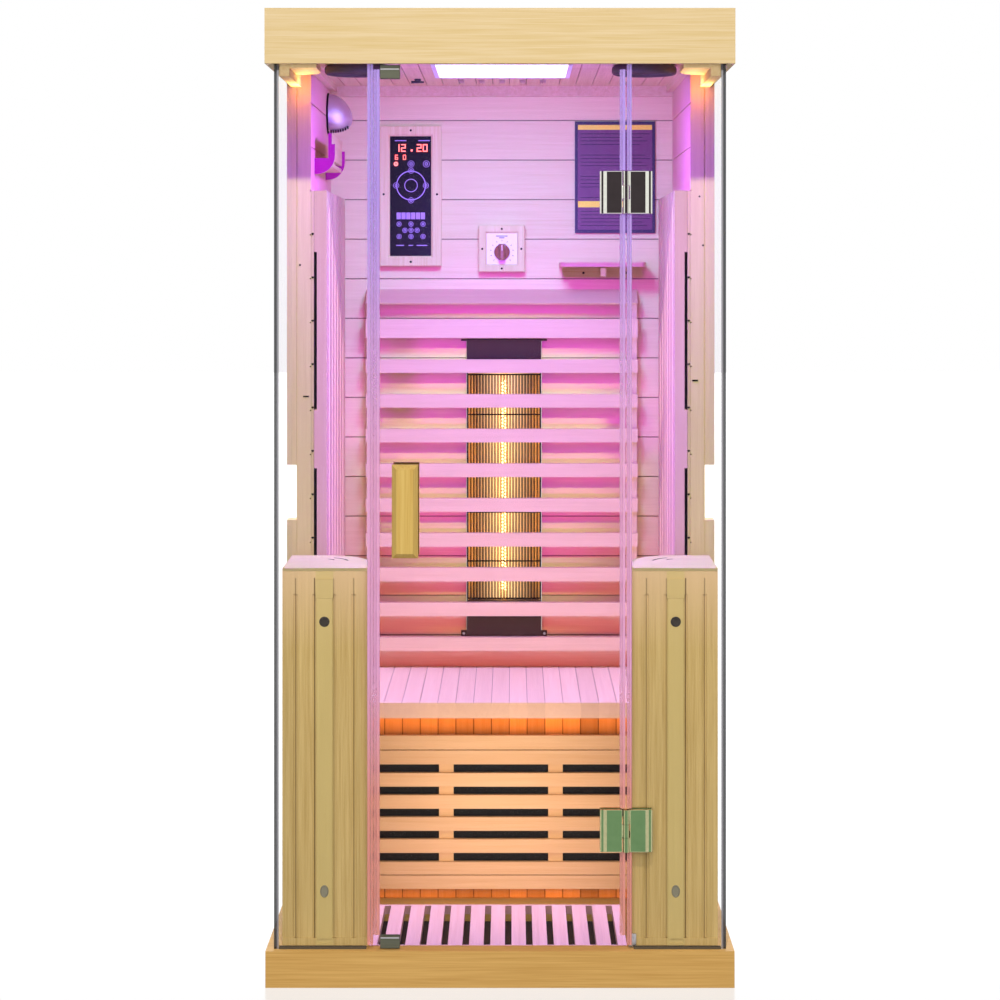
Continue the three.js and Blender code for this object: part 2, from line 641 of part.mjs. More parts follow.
// Backrest: level slats on two stiles, a taller slat and a sloping headrest at the top
const slatBack = slatFrontDepth + slatThickness;
const stileInner = 280;
const headrestBottom = 1301;
const headrestTop = 1332;
const backrestPieces = [];
for (const side of [-1, 1]) {
  backrestPieces.push(slab(side * stileInner, side * (backrestHalfWidth - 1),
    slatBack - 1, backWallDepth - fit, 510, 1312));
}
for (let i = 0; i < slatCount; i += 1) {
  const top = topSlatTop - i * slatPitch;
  backrestPieces.push(slab(-backrestHalfWidth, backrestHalfWidth, slatFrontDepth, slatBack,
    top - slatHeight, top));
}
backrestPieces.push(slab(-backrestHalfWidth, backrestHalfWidth, slatFrontDepth, slatBack, 1223, 1265.5));
backrestPieces.push(sideProfile([[slatFrontDepth, headrestBottom], [slatFrontDepth + 6, headrestBottom - 3],
  [backWallDepth - fit, headrestTop - 20], [backWallDepth - fit, headrestTop]],
-backrestHalfWidth, backrestHalfWidth));
add('backrest', join(backrestPieces), material(paleWood, 0.5));

// Heater in the back wall: black housing with end caps, gold trough, glowing tube and wire guard
const housingFront = 836;
const housingWall = 2;
const fixingPlate = (z0, z1) => slab(heaterX - heaterPlateHalfWidth, heaterX + heaterPlateHalfWidth,
  housingFront, backWallDepth - fit, z0, z1);
const fixingPlates = [
  fixingPlate(heaterPlateBottom, heaterBottom + 11),
  fixingPlate(heaterTop - 2.5, heaterPlateTop),
];
const housing = slab(heaterX - heaterHalfWidth, heaterX + heaterHalfWidth, housingFront, heaterBackDepth,
  heaterBottom, heaterTop);
const trough = slab(heaterX - heaterHalfWidth + housingWall, heaterX + heaterHalfWidth - housingWall,
  housingFront - 1, heaterBackDepth - housingWall, heaterCapBottom, heaterCapTop);
const capFront = 827;
const endCap = (z0, z1) => slab(heaterX - heaterHalfWidth, heaterX + heaterHalfWidth,
  capFront, housingFront + 1, z0, z1);
const openHousing = cut(join([...fixingPlates, housing]), [trough]);
const endCaps = [endCap(heaterBottom, heaterCapBottom), endCap(heaterCapTop, heaterTop)];
add('heater_housing', join([openHousing, ...endCaps]), material(blackMetal, 0.45, 0.5));

const troughWidth = 81.5;
const troughDepth = 39;
const troughFront = 839;
const sheet = 1.5;
const outerTrough = arcPoints(heaterX, troughFront, troughWidth, troughDepth, 0, Math.PI, 20);
const innerTrough = arcPoints(heaterX, troughFront, troughWidth - sheet, troughDepth - sheet, Math.PI, 0, 20);
add('heater_reflector', planPlate([...outerTrough, ...innerTrough],
  heaterCapBottom + fit, heaterCapTop - fit), material('#c9a24a', 0.25, 1));
const tube = material('#ffd9a0', 0.2);
tube.emissive = new THREE.Color('#ff9a3c');
add('heater_tube', uprightRod(9, heaterX + 2, 852, heaterCapBottom + fit, heaterCapTop - fit, 24), tube);

const wireCount = 25;
const wire = 2.2;
const guardHalfWidth = 83;
const guardFront = 822;
const ringLevels = [heaterCapBottom + 6, 720, 830, 939, 1050, heaterCapTop - 6];
const wirePitch = (2 * guardHalfWidth - wire) / (wireCount - 1);
const guardLeft = heaterX - guardHalfWidth;
const guardRight = heaterX + guardHalfWidth;
const guardSheet = slab(guardLeft, guardRight, guardFront, guardFront + wire,
  ringLevels[0] - wire / 2, ringLevels.at(-1) + wire / 2);
const guardGaps = [];
for (let row = 1; row < ringLevels.length; row += 1) {
  for (let column = 1; column < wireCount; column += 1) {
    const x = guardLeft + column * wirePitch;
    guardGaps.push(slab(x - wirePitch + wire, x, guardFront - 1, guardFront + wire + 1,
      ringLevels[row - 1] + wire / 2, ringLevels[row] - wire / 2));
  }
}
const guardLegs = ringLevels.flatMap((z) => [guardLeft, guardRight - wire].map((x) => slab(x, x + wire,
  guardFront + wire / 2, housingFront - fit, z - wire / 2, z + wire / 2)));
add('heater_guard', join([cut(guardSheet, guardGaps), ...guardLegs]), material('#3a3234', 0.4, 0.8));

// Control panel in a wooden frame
const onWall = backWallDepth - fit;
function wallFrame(x0, x1, z0, z1, border, d0) {
  return cut(slab(x0, x1, d0, onWall, z0, z1),
    [slab(x0 + border, x1 - border, d0 - 1, onWall + 1, z0 + border, z1 - border)]);
}
add('control_panel_frame', wallFrame(-275, -136, 1384, 1700, 23, 820), material(paleWood, 0.5));
add('control_panel', slab(-252 + fit, -159 - fit, 824, onWall, 1407 + fit, 1677 - fit),
  material('#0c0b12', 0.08));

// Dial on a white plate in a square wooden frame, with a turning knob
const dialX = 0.5;
const dialLevel = 1416;
const dialFront = 822;
const dialFrame = wallFrame(-52, 52, 1371, 1476, 18, 819);
const dialPlate = slab(-35, 35, dialFront, onWall, 1388, 1459);
add('dial_plate', join([dialFrame, dialPlate]), material('#c9a878', 0.5));
const knobRound = depthRod(18, dialX, dialLevel, dialFront - 8, dialFront - fit);
const knobGrip = slab(dialX - 6.5, dialX + 6.5,
  dialFront - 24, dialFront - 7, dialLevel - 19, dialLevel + 19);
add('dial_knob', join([knobRound, knobGrip]), material('#6b3f24', 0.4));

// Notice board, wall shelf, magazine rack and wall lamp
add('notice_board', slab(165, 346, 834, onWall, 1459, 1711), material('#4a2f66', 0.5));
const shelfLeft = 129;
const shelfRight = 321;
const shelfFront = 748;
const shelfCorner = 14;
const shelfTop = 1392;
const shelfBottom = 1382.5;
const shelfPlan = [[shelfLeft, onWall],
  ...arcPoints(shelfLeft + shelfCorner, shelfFront + shelfCorner, shelfCorner, shelfCorner,
    Math.PI, 1.5 * Math.PI, 6),
  ...arcPoints(shelfRight - shelfCorner, shelfFront + shelfCorner, shelfCorner, shelfCorner,
    1.5 * Math.PI, 2 * Math.PI, 6),
  [shelfRight, onWall]];
const shelfBatten = slab(shelfLeft + 7, shelfRight - 7, 822, onWall, 1359, shelfBottom + 0.5);
add('wall_shelf', join([planPlate(shelfPlan, shelfBottom, shelfTop), shelfBatten]), material(paleWood, 0.5));

const rackFront = 384;
const rackBack = 690;
const rackBottom = 1572.5;
const rackSill = 1605.6;
const rackLipTop = 1634.6;
const rackTop = 1657;
const rackReach = 343.5;
const rackCorner = 38;
const rackLip = 7.5;
const rackBoard = 6.5;
const rackEnd = 12;
const rackFloorBottom = 1588;
const rackFloorTop = 1596;
const rackWall = -(wallInner - fit);
function rackEndPlate(d0) {
  const round = arcPoints(-rackReach - rackCorner, rackBottom + rackCorner, rackCorner, rackCorner,
    0, -Math.PI / 2, 8);
  const shape = [[rackWall, rackBottom], [rackWall, rackSill], [-rackReach - rackLip, rackSill],
    [-rackReach - rackLip, rackLipTop], [-rackReach, rackLipTop], ...round];
  return frontPlate(shape, d0, d0 + rackEnd);
}
const rackFace = -rackReach - rackLip;
add('magazine_rack', join([
  rackEndPlate(rackFront),
  rackEndPlate(rackBack - rackEnd),
  slab(rackFace - rackBoard, rackFace + 1, rackFront, rackBack, rackSill - 3, rackTop),
  slab(rackWall, rackFace, rackFront + 1, rackBack - 1, rackFloorBottom, rackFloorTop),
]), material(paleWood, 0.5));

const wallLampDepth = 739;
const wallLampLevel = 1722;
const wallLampRadius = 45.5;
const wallLampReach = 56;
const lampRound = arcPoints(0, 18, wallLampRadius - 4, wallLampReach - 18, 0, Math.PI / 2, 7);
const lampSection = [[0, 0], [wallLampRadius, 0], [wallLampRadius, 16], ...lampRound.slice(0, -1),
  [0, wallLampReach]];
const wallLamp = new THREE.LatheGeometry(lampSection.map(([r, h]) => new THREE.Vector2(r, h)), 28);
wallLamp.rotateZ(-Math.PI / 2).translate(rackWall, frontY + wallLampDepth, wallLampLevel);
add('wall_lamp', wallLamp, material('#d8b08a', 0.3));

export default cabin;
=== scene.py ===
import math

import bmesh
import bpy
from mathutils import Matrix, Vector


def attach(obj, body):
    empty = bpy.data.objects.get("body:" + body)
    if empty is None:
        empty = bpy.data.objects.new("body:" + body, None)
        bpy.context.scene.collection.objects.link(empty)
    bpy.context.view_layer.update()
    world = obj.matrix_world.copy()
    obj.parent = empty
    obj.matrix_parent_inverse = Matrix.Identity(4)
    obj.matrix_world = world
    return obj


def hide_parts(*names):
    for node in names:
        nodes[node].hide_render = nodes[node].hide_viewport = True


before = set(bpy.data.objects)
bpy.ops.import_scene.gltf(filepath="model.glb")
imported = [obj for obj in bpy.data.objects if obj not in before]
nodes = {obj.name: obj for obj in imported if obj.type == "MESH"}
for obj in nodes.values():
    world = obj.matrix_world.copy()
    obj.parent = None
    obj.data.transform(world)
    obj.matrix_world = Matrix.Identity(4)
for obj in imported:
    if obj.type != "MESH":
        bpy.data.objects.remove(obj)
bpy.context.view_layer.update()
scene = bpy.context.scene
scene.view_settings.view_transform = "Standard"


# The viewpoint: level with the upper half of the door, square to the glass front, the lens shifted down
# so that the upright edges stay upright. Sizes are millimetres, depth is counted from the roof front.
SIDES = ((-1, "left"), (1, "right"))


def at(x, depth, z):
    return Vector((x / 1000, (depth - 450) / 1000, z / 1000))


camera_data = bpy.data.cameras.new("viewpoint")
camera_data.lens = 86.66
camera_data.sensor_width = 36
camera_data.shift_x = -0.012
camera_data.shift_y = -0.22
camera_data.clip_end = 60
camera = bpy.data.objects.new("viewpoint", camera_data)
camera.location = at(23, -4600, 1353)
camera.rotation_euler = (math.radians(90), 0, 0)
scene.collection.objects.link(camera)
scene.camera = camera


# The pale floor the cabin stands on, a seamless sheet far larger than the view.
# Lacquered white: it looks white all over and mirrors the base a little where it stands.
def linear(hex_colour):
    channels = [int(hex_colour[i:i + 2], 16) / 255 for i in (1, 3, 5)]
    return [c / 12.92 if c <= 0.04045 else ((c + 0.055) / 1.055) ** 2.4 for c in channels] + [1.0]


def node(tree, kind, inputs=None, **settings):
    made = tree.nodes.new("ShaderNode" + kind)
    for name, value in settings.items():
        setattr(made, name, value)
    for name, value in (inputs or {}).items():
        if isinstance(value, bpy.types.NodeSocket):
            tree.links.new(value, made.inputs[name])
        else:
            made.inputs[name].default_value = value
    return made


def surface(name, **inputs):
    material = bpy.data.materials.new(name)
    material.use_nodes = True
    shader = material.node_tree.nodes["Principled BSDF"]
    for socket, value in inputs.items():
        shader.inputs[socket.replace("_", " ")].default_value = value
    return material, material.node_tree, shader


floor_paint, tree, shader = surface("white_floor_lacquer", Base_Color=linear("#5c5b5a"), Roughness=0.22,
                                    Specular_IOR_Level=1.0, Emission_Color=linear("#ffffff"))
split = node(tree, "SeparateXYZ", {"Vector": node(tree, "TexCoord").outputs["Object"]})
away = node(tree, "MapRange", {
    "Value": split.outputs["Y"], "From Min": -0.45, "From Max": 0.5, "To Min": 0.74, "To Max": 1.0})
path = node(tree, "LightPath")
seen = node(tree, "Math", {
    0: path.outputs["Is Camera Ray"], 1: path.outputs["Is Glossy Ray"]}, operation="MAXIMUM")
lift = node(tree, "Math", {0: seen.outputs[0], 1: away.outputs["Result"]}, operation="MULTIPLY")
tree.links.new(lift.outputs[0], shader.inputs["Emission Strength"])
bm = bmesh.new()
bmesh.ops.create_grid(bm, x_segments=1, y_segments=1, size=30)
floor_mesh = bpy.data.meshes.new("floor")
bm.to_mesh(floor_mesh)
bm.free()
floor_mesh.materials.append(floor_paint)
floor = bpy.data.objects.new("floor", floor_mesh)
scene.collection.objects.link(floor)


# The base: a platform of planed hemlock with a slotted grille let into it, and a carbon heater under the grille.
# Hemlock is pale and straight grained, oiled to a soft satin. The grain is drawn as streaks about 9 mm wide
# with a figure about 2 mm wide, coarse enough to show, and each board has its own tone.
AXES = {"X": 0, "Y": 1, "Z": 2}
STREAK_MM = 9
FIGURE_MM = 2.2


def stretched(tree, place, across_mm, along_mm, grain):
    scale = [1000 / across_mm] * 3
    scale[AXES[grain]] = 1000 / along_mm
    return node(tree, "Mapping", {"Vector": place, "Scale": scale}).outputs["Vector"]


def hemlock(name, light, dark, grain, boards=None, first_joint=0.0, spread=0.08, joint_mm=0.0, joint_face="Y",
            joints_end=1000):
    """Hemlock with its grain along one axis, and boards given as the axis they are laid across and their width.

    Open joints are drawn on the faces that look along one axis, as far back as joints_end."""
    material, tree, shader = surface(name, Specular_IOR_Level=0.2)
    place = node(tree, "TexCoord").outputs["Object"]
    streaks = node(tree, "TexNoise", {
        "Vector": stretched(tree, place, STREAK_MM, 420, grain), "Scale": 1.0, "Detail": 3.0, "Distortion": 0.4})
    figure = node(tree, "TexNoise", {
        "Vector": stretched(tree, place, FIGURE_MM, 110, grain), "Scale": 1.0, "Detail": 2.0})
    both = node(tree, "Math", {0: streaks.outputs["Fac"], 1: figure.outputs["Fac"]}, operation="ADD")
    depth = node(tree, "MapRange", {"Value": both.outputs[0], "From Min": 0.65, "From Max": 1.35})
    tint = node(tree, "Mix", {
        "Factor": depth.outputs["Result"], 6: linear(dark), 7: linear(light)}, data_type="RGBA").outputs[2]
    if boards:
        axis, width = boards
        split = node(tree, "SeparateXYZ", {"Vector": place})
        count = node(tree, "Math", {
            0: split.outputs[axis], 1: 1000 / width, 2: -first_joint / width}, operation="MULTIPLY_ADD").outputs[0]
        whole = node(tree, "Math", {0: count}, operation="FLOOR")
        chance = node(tree, "TexWhiteNoise", {"W": whole.outputs[0]}, noise_dimensions="1D")
        tone = node(tree, "MapRange", {
            "Value": chance.outputs["Value"], "To Min": 1.0 - spread, "To Max": 1.0}).outputs["Result"]
        away = node(tree, "Math", {0: count, 1: 0.5}, operation="PINGPONG")
        near = node(tree, "MapRange", {
            "Value": away.outputs[0], "From Min": 0.4 * joint_mm / width, "From Max": 0.6 * joint_mm / width + 1e-6,
            "To Min": 1.0, "To Max": 0.0})
        normal = node(tree, "TexCoord").outputs["Normal"]
        facing = node(tree, "Math", {
            0: node(tree, "SeparateXYZ", {"Vector": normal}).outputs[joint_face]}, operation="ABSOLUTE")
        on_face = node(tree, "Math", {0: facing.outputs[0], 1: 0.7}, operation="GREATER_THAN")
        in_reach = node(tree, "Math", {0: split.outputs["Y"], 1: at(0, joints_end, 0).y}, operation="LESS_THAN")
        drawn = node(tree, "Math", {0: on_face.outputs[0], 1: in_reach.outputs[0]}, operation="MULTIPLY")
        joint = node(tree, "Math", {0: near.outputs["Result"], 1: drawn.outputs[0]}, operation="MULTIPLY")
        gap = node(tree, "MapRange", {"Value": joint.outputs[0], "To Min": 1.0, "To Max": 0.4})
        shade = node(tree, "Math", {0: tone, 1: gap.outputs["Result"]}, operation="MULTIPLY").outputs[0]
        tint = node(tree, "Mix", {"Factor": 1.0, 6: tint, 7: shade},
                    data_type="RGBA", blend_type="MULTIPLY").outputs[2]
    tree.links.new(tint, shader.inputs["Base Color"])
    gloss = node(tree, "MapRange", {"Value": figure.outputs["Fac"], "To Min": 0.5, "To Max": 0.7})
    tree.links.new(gloss.outputs["Result"], shader.inputs["Roughness"])
    bump = node(tree, "Bump", {"Height": figure.outputs["Fac"], "Strength": 0.3, "Distance": 0.0006})
    tree.links.new(bump.outputs["Normal"], shader.inputs["Normal"])
    return material


def dress(material, *names):
    for name in names:
        slots = nodes[name].data.materials
        slots.clear()
        slots.append(material)


dress(hemlock("hemlock_base", "#d5aa65", "#c0934f", "X"), "base_platform")
dress(hemlock("hemlock_floor", "#f3dcb8", "#e6caa2", "Y", ("X", 41.1), -5), "floor_grille")


# Carbon heater panels: black film on a stiff board, with a fine woven grid of about 6 mm under a dull skin.
# They lie under the floor grille, behind the leg grille and the side slats and inside the corner boxes.
carbon_film, tree, shader = surface("carbon_heater_film", Roughness=0.55)
place = node(tree, "TexCoord").outputs["Object"]
grid = node(tree, "TexVoronoi", {"Vector": place, "Scale": 1000 / 6, "Randomness": 0.0})
cells = node(tree, "MapRange", {"Value": grid.outputs["Distance"], "From Max": 0.7})
film = node(tree, "Mix", {
    "Factor": cells.outputs["Result"], 6: linear("#251f22"), 7: linear("#110d10")}, data_type="RGBA")
tree.links.new(film.outputs[2], shader.inputs["Base Color"])
bump = node(tree, "Bump", {"Height": grid.outputs["Distance"], "Strength": 0.3, "Distance": 0.0004})
tree.links.new(bump.outputs["Normal"], shader.inputs["Normal"])
dress(carbon_film, "floor_heater", "leg_heater", "left_side_heater", "right_side_heater",
      "left_heater_box_panel", "right_heater_box_panel")


# The walls: boarded hemlock panels, level boards 89 mm wide, the side walls with a proud outer frame.
# Small dark panel pins hold the front edges of the posts and the slats of the side heaters.
WALL_BOARD_MM = 89.4
TOP_JOINT = 1713.4
JOINT_MM = 2.5
dress(hemlock("hemlock_wall", "#f2dcba", "#e8d0aa", "X", ("Z", WALL_BOARD_MM), TOP_JOINT, 0.06, JOINT_MM),
      "back_wall")
side_wall_wood = hemlock("hemlock_side_wall", "#f2dcba", "#e6cda6", "Z")
dress(side_wall_wood, "left_wall", "right_wall")


def add_piece(bm, name, body, slot, *materials, replaces=(), smooth_angle=None):
    mesh = bpy.data.meshes.new(name)
    bm.to_mesh(mesh)
    bm.free()
    for material in materials:
        mesh.materials.append(material)
    if smooth_angle:
        mesh.polygons.foreach_set("use_smooth", [True] * len(mesh.polygons))
        mesh.set_sharp_from_angle(angle=math.radians(smooth_angle))
    piece = bpy.data.objects.new(name, mesh)
    scene.collection.objects.link(piece)
    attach(piece, body)
    if replaces:
        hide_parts(*replaces)
    return piece


def screw(bm, x, depth, z, radius=2.4):
    """A low round head facing the front with a hollow in its middle, its seat at the given depth."""
    head = 1.2
    place = Matrix.Translation(at(x, depth - head / 2, z)) @ Matrix.Rotation(math.radians(90), 4, "X")
    made = bmesh.ops.create_cone(bm, cap_ends=True, segments=14, radius1=radius / 1000,
                                 radius2=0.8 * radius / 1000, depth=head / 1000, matrix=place)
    faces = {face for vert in made["verts"] for face in vert.link_faces}
    front = min(faces, key=lambda face: face.calc_center_median().y)
    bmesh.ops.inset_region(bm, faces=[front], thickness=0.3 * radius / 1000)
    bmesh.ops.translate(bm, verts=front.verts, vec=(0, 0.0007, 0))


def block(bm, low, high, bevel=0.8):
    """A block between two corners given as x, depth and height, its edges rounded over."""
    first = at(*map(min, low, high))
    last = at(*map(max, low, high))
    place = Matrix.LocRotScale((first + last) / 2, None, last - first)
    made = bmesh.ops.create_cube(bm, size=1, matrix=place)
    edges = list({edge for vert in made["verts"] for edge in vert.link_edges})
    bmesh.ops.bevel(bm, geom=edges, offset=bevel / 1000, offset_type="OFFSET", segments=2, profile=0.5,
                    affect="EDGES", clamp_overlap=True, material=-1)


def coated(name, light, dark, grain_mm, gloss, lift_mm, grain=None, **sockets):
    """A plain finish whose colour, gloss and skin wander a little, over a grain of the given size."""
    material, tree, shader = surface(name, **sockets)
    place = node(tree, "TexCoord").outputs["Object"]
    along_mm = 40 * grain_mm if grain else grain_mm
    cloud = node(tree, "TexNoise", {
        "Vector": stretched(tree, place, grain_mm, along_mm, grain or "Z"), "Scale": 1.0, "Detail": 4.0})
    tint = node(tree, "Mix", {
        "Factor": cloud.outputs["Fac"], 6: linear(dark), 7: linear(light)}, data_type="RGBA")
    tree.links.new(tint.outputs[2], shader.inputs["Base Color"])
    shine = node(tree, "MapRange", {
        "Value": cloud.outputs["Fac"], "To Min": gloss[0], "To Max": gloss[1]})
    tree.links.new(shine.outputs["Result"], shader.inputs["Roughness"])
    bump = node(tree, "Bump", {
        "Height": cloud.outputs["Fac"], "Strength": 0.4, "Distance": lift_mm / 1000})
    tree.links.new(bump.outputs["Normal"], shader.inputs["Normal"])
    return material


blued_steel = coated("blued_steel_pins", "#180c13", "#0d060a", 1.5, (0.5, 0.65), 0.05, Specular_IOR_Level=0.05)
POST_FRONT = 298
EDGING_MM = 88.3
EDGING_TOP = 1535
bm = bmesh.new()
for x, level in ((-408.4, 1383.5), (404.5, 1523), (411.6, 1423.6)):
    screw(bm, x, POST_FRONT, level, 2.0)
for x, level in ((-396, 1116), (395.4, 1148.5)):
    block(bm, (x - 6, POST_FRONT - 1, level - 1.6), (x + 6, POST_FRONT - 0.2, level + 1.6), 0.3)
for side in (-1, 1):
    for board in range(1, 11):
        screw(bm, side * 382.5, POST_FRONT, EDGING_TOP - EDGING_MM * board, 2.2)
add_piece(bm, "wall_pins", "cabin", "black_heater", blued_steel)


# The roof: four fascia boards, a ceiling of narrow boards with air slots and a cornice, a cover on top
# and the steel control unit between them. All hemlock, the fascia a shade yellower.
NARROW_BOARD_MM = 37
NARROW_JOINT = 17.4
CORNICE_FRONT = 790
dress(hemlock("hemlock_roof_long", "#d6c19b", "#c8ae78", "X"), "roof_front_board", "roof_back_board")
dress(hemlock("hemlock_roof_side", "#d6c19b", "#c8ae78", "Y"), "roof_left_board", "roof_right_board",
      "roof_cover")
dress(hemlock("hemlock_ceiling", "#eed6b2", "#dcbf95", "Y", ("X", NARROW_BOARD_MM), NARROW_JOINT, 0.06, 1.8, "Z",
              CORNICE_FRONT), "ceiling_panel")
dress(hemlock("hemlock_rail", "#ecd0a0", "#d8b67e", "Y"), "left_top_rail", "right_top_rail")
dress(coated("galvanised_unit", "#a3a7ab", "#84888c", 9, (0.35, 0.5), 0.1, Metallic=0.8), "control_unit")


# The heat probe: a small black pin in a clip on the ceiling, left of the lamp.
black_abs = coated("black_abs", "#332c33", "#1f1a20", 2, (0.4, 0.6), 0.06)
CEILING = 1790
PROBE = Vector((-182, 632))
bm = bmesh.new()
block(bm, (PROBE.x - 7, PROBE.y - 5, CEILING - 5), (PROBE.x + 7, PROBE.y + 5, CEILING), 1.0)
pin = Matrix.Translation(at(PROBE.x, PROBE.y, CEILING - 7)) @ Matrix.Rotation(math.radians(90), 4, "Y")
bmesh.ops.create_cone(bm, cap_ends=True, segments=12, radius1=0.003, radius2=0.002, depth=0.028, matrix=pin)
add_piece(bm, "heat_probe", "cabin", "speaker_black", black_abs, smooth_angle=40)


# The ceiling lamp: a white moulded frame with a lit opal diffuser that shows a faint row of light sources.
dress(coated("white_abs", "#f4f2f6", "#e6e3ea", 3, (0.3, 0.42), 0.05), "ceiling_lamp_frame")
LAMP_SPACING_MM = 28
diffuser, tree, shader = surface("opal_acrylic_lit", Base_Color=linear("#ffffff"), Roughness=0.3,
                                 Emission_Color=linear("#fdf6ff"))
place = node(tree, "TexCoord").outputs["Object"]
dots = node(tree, "TexVoronoi", {"Vector": place, "Scale": 1000 / LAMP_SPACING_MM, "Randomness": 0.0})
power = node(tree, "MapRange", {
    "Value": dots.outputs["Distance"], "From Max": 0.7, "To Min": 3.2, "To Max": 1.6})
tree.links.new(power.outputs["Result"], shader.inputs["Emission Strength"])
dress(diffuser, "ceiling_lamp_diffuser")


# The loudspeakers: a round black rim with a rolled surround, a cone and a dust cap, turned in one.
# The cone is pressed paper fibre, which shows as a fine dull mottle.
def turned(bm, section, centre, axis, steps):
    """A closed round body from points of radius and distance along the axis, starting and ending on it."""
    toward = Vector(axis)
    across = toward.orthogonal().normalized()
    verts = [bm.verts.new(centre + across * (r / 1000) + toward * (h / 1000)) for r, h in section]
    edges = [bm.edges.new(pair) for pair in zip(verts, verts[1:])]
    bmesh.ops.spin(bm, geom=verts + edges, cent=centre, axis=toward, angle=math.radians(360), steps=steps,
                   use_merge=True)
    bmesh.ops.remove_doubles(bm, verts=bm.verts, dist=1e-6)
    bmesh.ops.recalc_face_normals(bm, faces=bm.faces)


paper_cone = coated("pressed_paper_cone", "#4a3a3c", "#2d2224", 1.6, (0.55, 0.75), 0.12)
SPEAKER_SECTION = [(0, 0), (58, 0), (65, 4), (66, 8), (66, 14), (64, 18), (60, 20), (57, 18.5), (55, 13),
                   (50, 14.5), (46, 13), (19, 7), (15, 12), (9, 15), (0, 16)]
for side, name in ((-1, "left_speaker"), (1, "right_speaker")):
    bm = bmesh.new()
    turned(bm, SPEAKER_SECTION, at(side * 292, 297, CEILING - 0.3), (0, 0, -1), 56)
    add_piece(bm, name + "_body", "cabin", "speaker_black", paper_cone, replaces=(name,), smooth_angle=50)


# The side heaters: upright hemlock slats on rails in front of the black panels,
# and a thin edging of short pieces that covers the front edge of each panel.
GUARD_SLAT_MM = 79.3
upright_wood = hemlock("hemlock_upright", "#f0d8b4", "#e4c8a0", "Z", ("Y", GUARD_SLAT_MM), POST_FRONT - 450)
dress(upright_wood, "left_side_guard", "right_side_guard")
for side, name in SIDES:
    bm = bmesh.new()
    for board in range(11):
        top = EDGING_TOP - EDGING_MM * board
        block(bm, (side * 380.2, POST_FRONT + 0.1, top - EDGING_MM + 1.5),
              (side * 385.6, POST_FRONT + 1.8, top), 0.4)
    add_piece(bm, name + "_heater_edging", "cabin", "pale_wood", upright_wood)


# The bench: a seat of narrow boards with an edge board, an upright boarded panel under it
# and a grille of level boards in front of the leg heater. All hemlock, each board its own tone.
dress(hemlock("hemlock_seat", "#f4deba", "#ead2ac", "Y", ("X", NARROW_BOARD_MM), NARROW_JOINT, 0.12, 1.2, "Z"),
      "bench_seat")
dress(hemlock("hemlock_bench_panel", "#ecd0a4", "#dfbe8c", "Z", ("X", NARROW_BOARD_MM), NARROW_JOINT, 0.42, 2),
      "bench_panel")
dress(hemlock("hemlock_kick", "#f2d9b0", "#e6c89a", "X", ("Z", 45.6), 160), "kick_grille")


# The backrest: level slats on two stiles with a taller slat and a sloping headrest over them.
# Dark screws hold the stiles to the wall.
SLAT_PITCH_MM = 77.9
dress(hemlock("hemlock_slats", "#f3dcba", "#ead2ac", "X", ("Z", SLAT_PITCH_MM), 1190, 0.06), "backrest")
bm = bmesh.new()
for side in (-1, 1):
    for level in (1286, 1199, 540):
        screw(bm, side * 292, 817, level, 2.6)
add_piece(bm, "backrest_screws", "cabin", "black_heater", blued_steel)


# The heater in the back wall: a black stove-enamelled steel housing with round-headed screws in its feet
# and a trough of gold anodised sheet, brushed along its length, whose reflection of the lamp is painted on as a
# glow strongest next to it.
HEATER_X = 5
stove_enamel = coated("black_stove_enamel", "#4a2c24", "#341d17", 2.5, (0.45, 0.6), 0.08, Specular_IOR_Level=0.2)
dress(stove_enamel, "heater_housing")
gold_sheet = coated("gold_anodised_sheet", "#e8c07a", "#c9964e", 1.2, (0.3, 0.42), 0.03, "Z", Metallic=0.55)
tree = gold_sheet.node_tree
shader = tree.nodes["Principled BSDF"]
# Painted reflection of the lamp: the sheet glows most along the lamp's line and fades to the sides.
split = node(tree, "SeparateXYZ", {"Vector": node(tree, "TexCoord").outputs["Object"]})
from_lamp = node(tree, "Math", {0: split.outputs["X"], 1: -HEATER_X / 1000}, operation="ADD")
reach = node(tree, "Math", {0: from_lamp.outputs[0]}, operation="ABSOLUTE")
painted_lamp_glow = node(tree, "MapRange", {
    "Value": reach.outputs[0], "From Min": 0.012, "From Max": 0.065, "To Min": 0.8, "To Max": 0.05})
tree.links.new(painted_lamp_glow.outputs["Result"], shader.inputs["Emission Strength"])
shader.inputs["Emission Color"].default_value = linear("#f0cf9a")
dress(gold_sheet, "heater_reflector")
zinc = coated("zinc_plated_steel", "#c9c7cc", "#a4a2a8", 1.2, (0.25, 0.4), 0.04, Metallic=1.0)
bm = bmesh.new()
for offset in (-91, 91):
    screw(bm, HEATER_X + offset, 836, 555, 3.2)
add_piece(bm, "heater_foot_screws", "cabin", "catch_steel", zinc)

# The lamp of the heater: a coiled filament in a clear quartz tube between the two end caps.
# The coil glows yellow-white, the quartz only carries a faint warm haze.
HEATER_LAMP = at(HEATER_X - 1, 852, 0)
LAMP_BOTTOM = 631
LAMP_TOP = 1145
COIL_PITCH = 7.5
COIL_RADIUS = 4.6
glow, _, _ = surface("glowing_tungsten", Base_Color=linear("#fff0cc"), Roughness=0.5,
                     Emission_Color=linear("#ffd58c"), Emission_Strength=7.0)
turns = (LAMP_TOP - LAMP_BOTTOM - 40) / COIL_PITCH
bm = bmesh.new()
start = HEATER_LAMP + Vector((COIL_RADIUS, 0, LAMP_BOTTOM + 20)) / 1000
ring = bmesh.ops.create_circle(bm, segments=5, radius=0.0010,
                               matrix=Matrix.Translation(start) @ Matrix.Rotation(math.radians(90), 4, "X"))
rim = ring["verts"] + list({edge for vert in ring["verts"] for edge in vert.link_edges})
coil_steps = int(turns * 9)
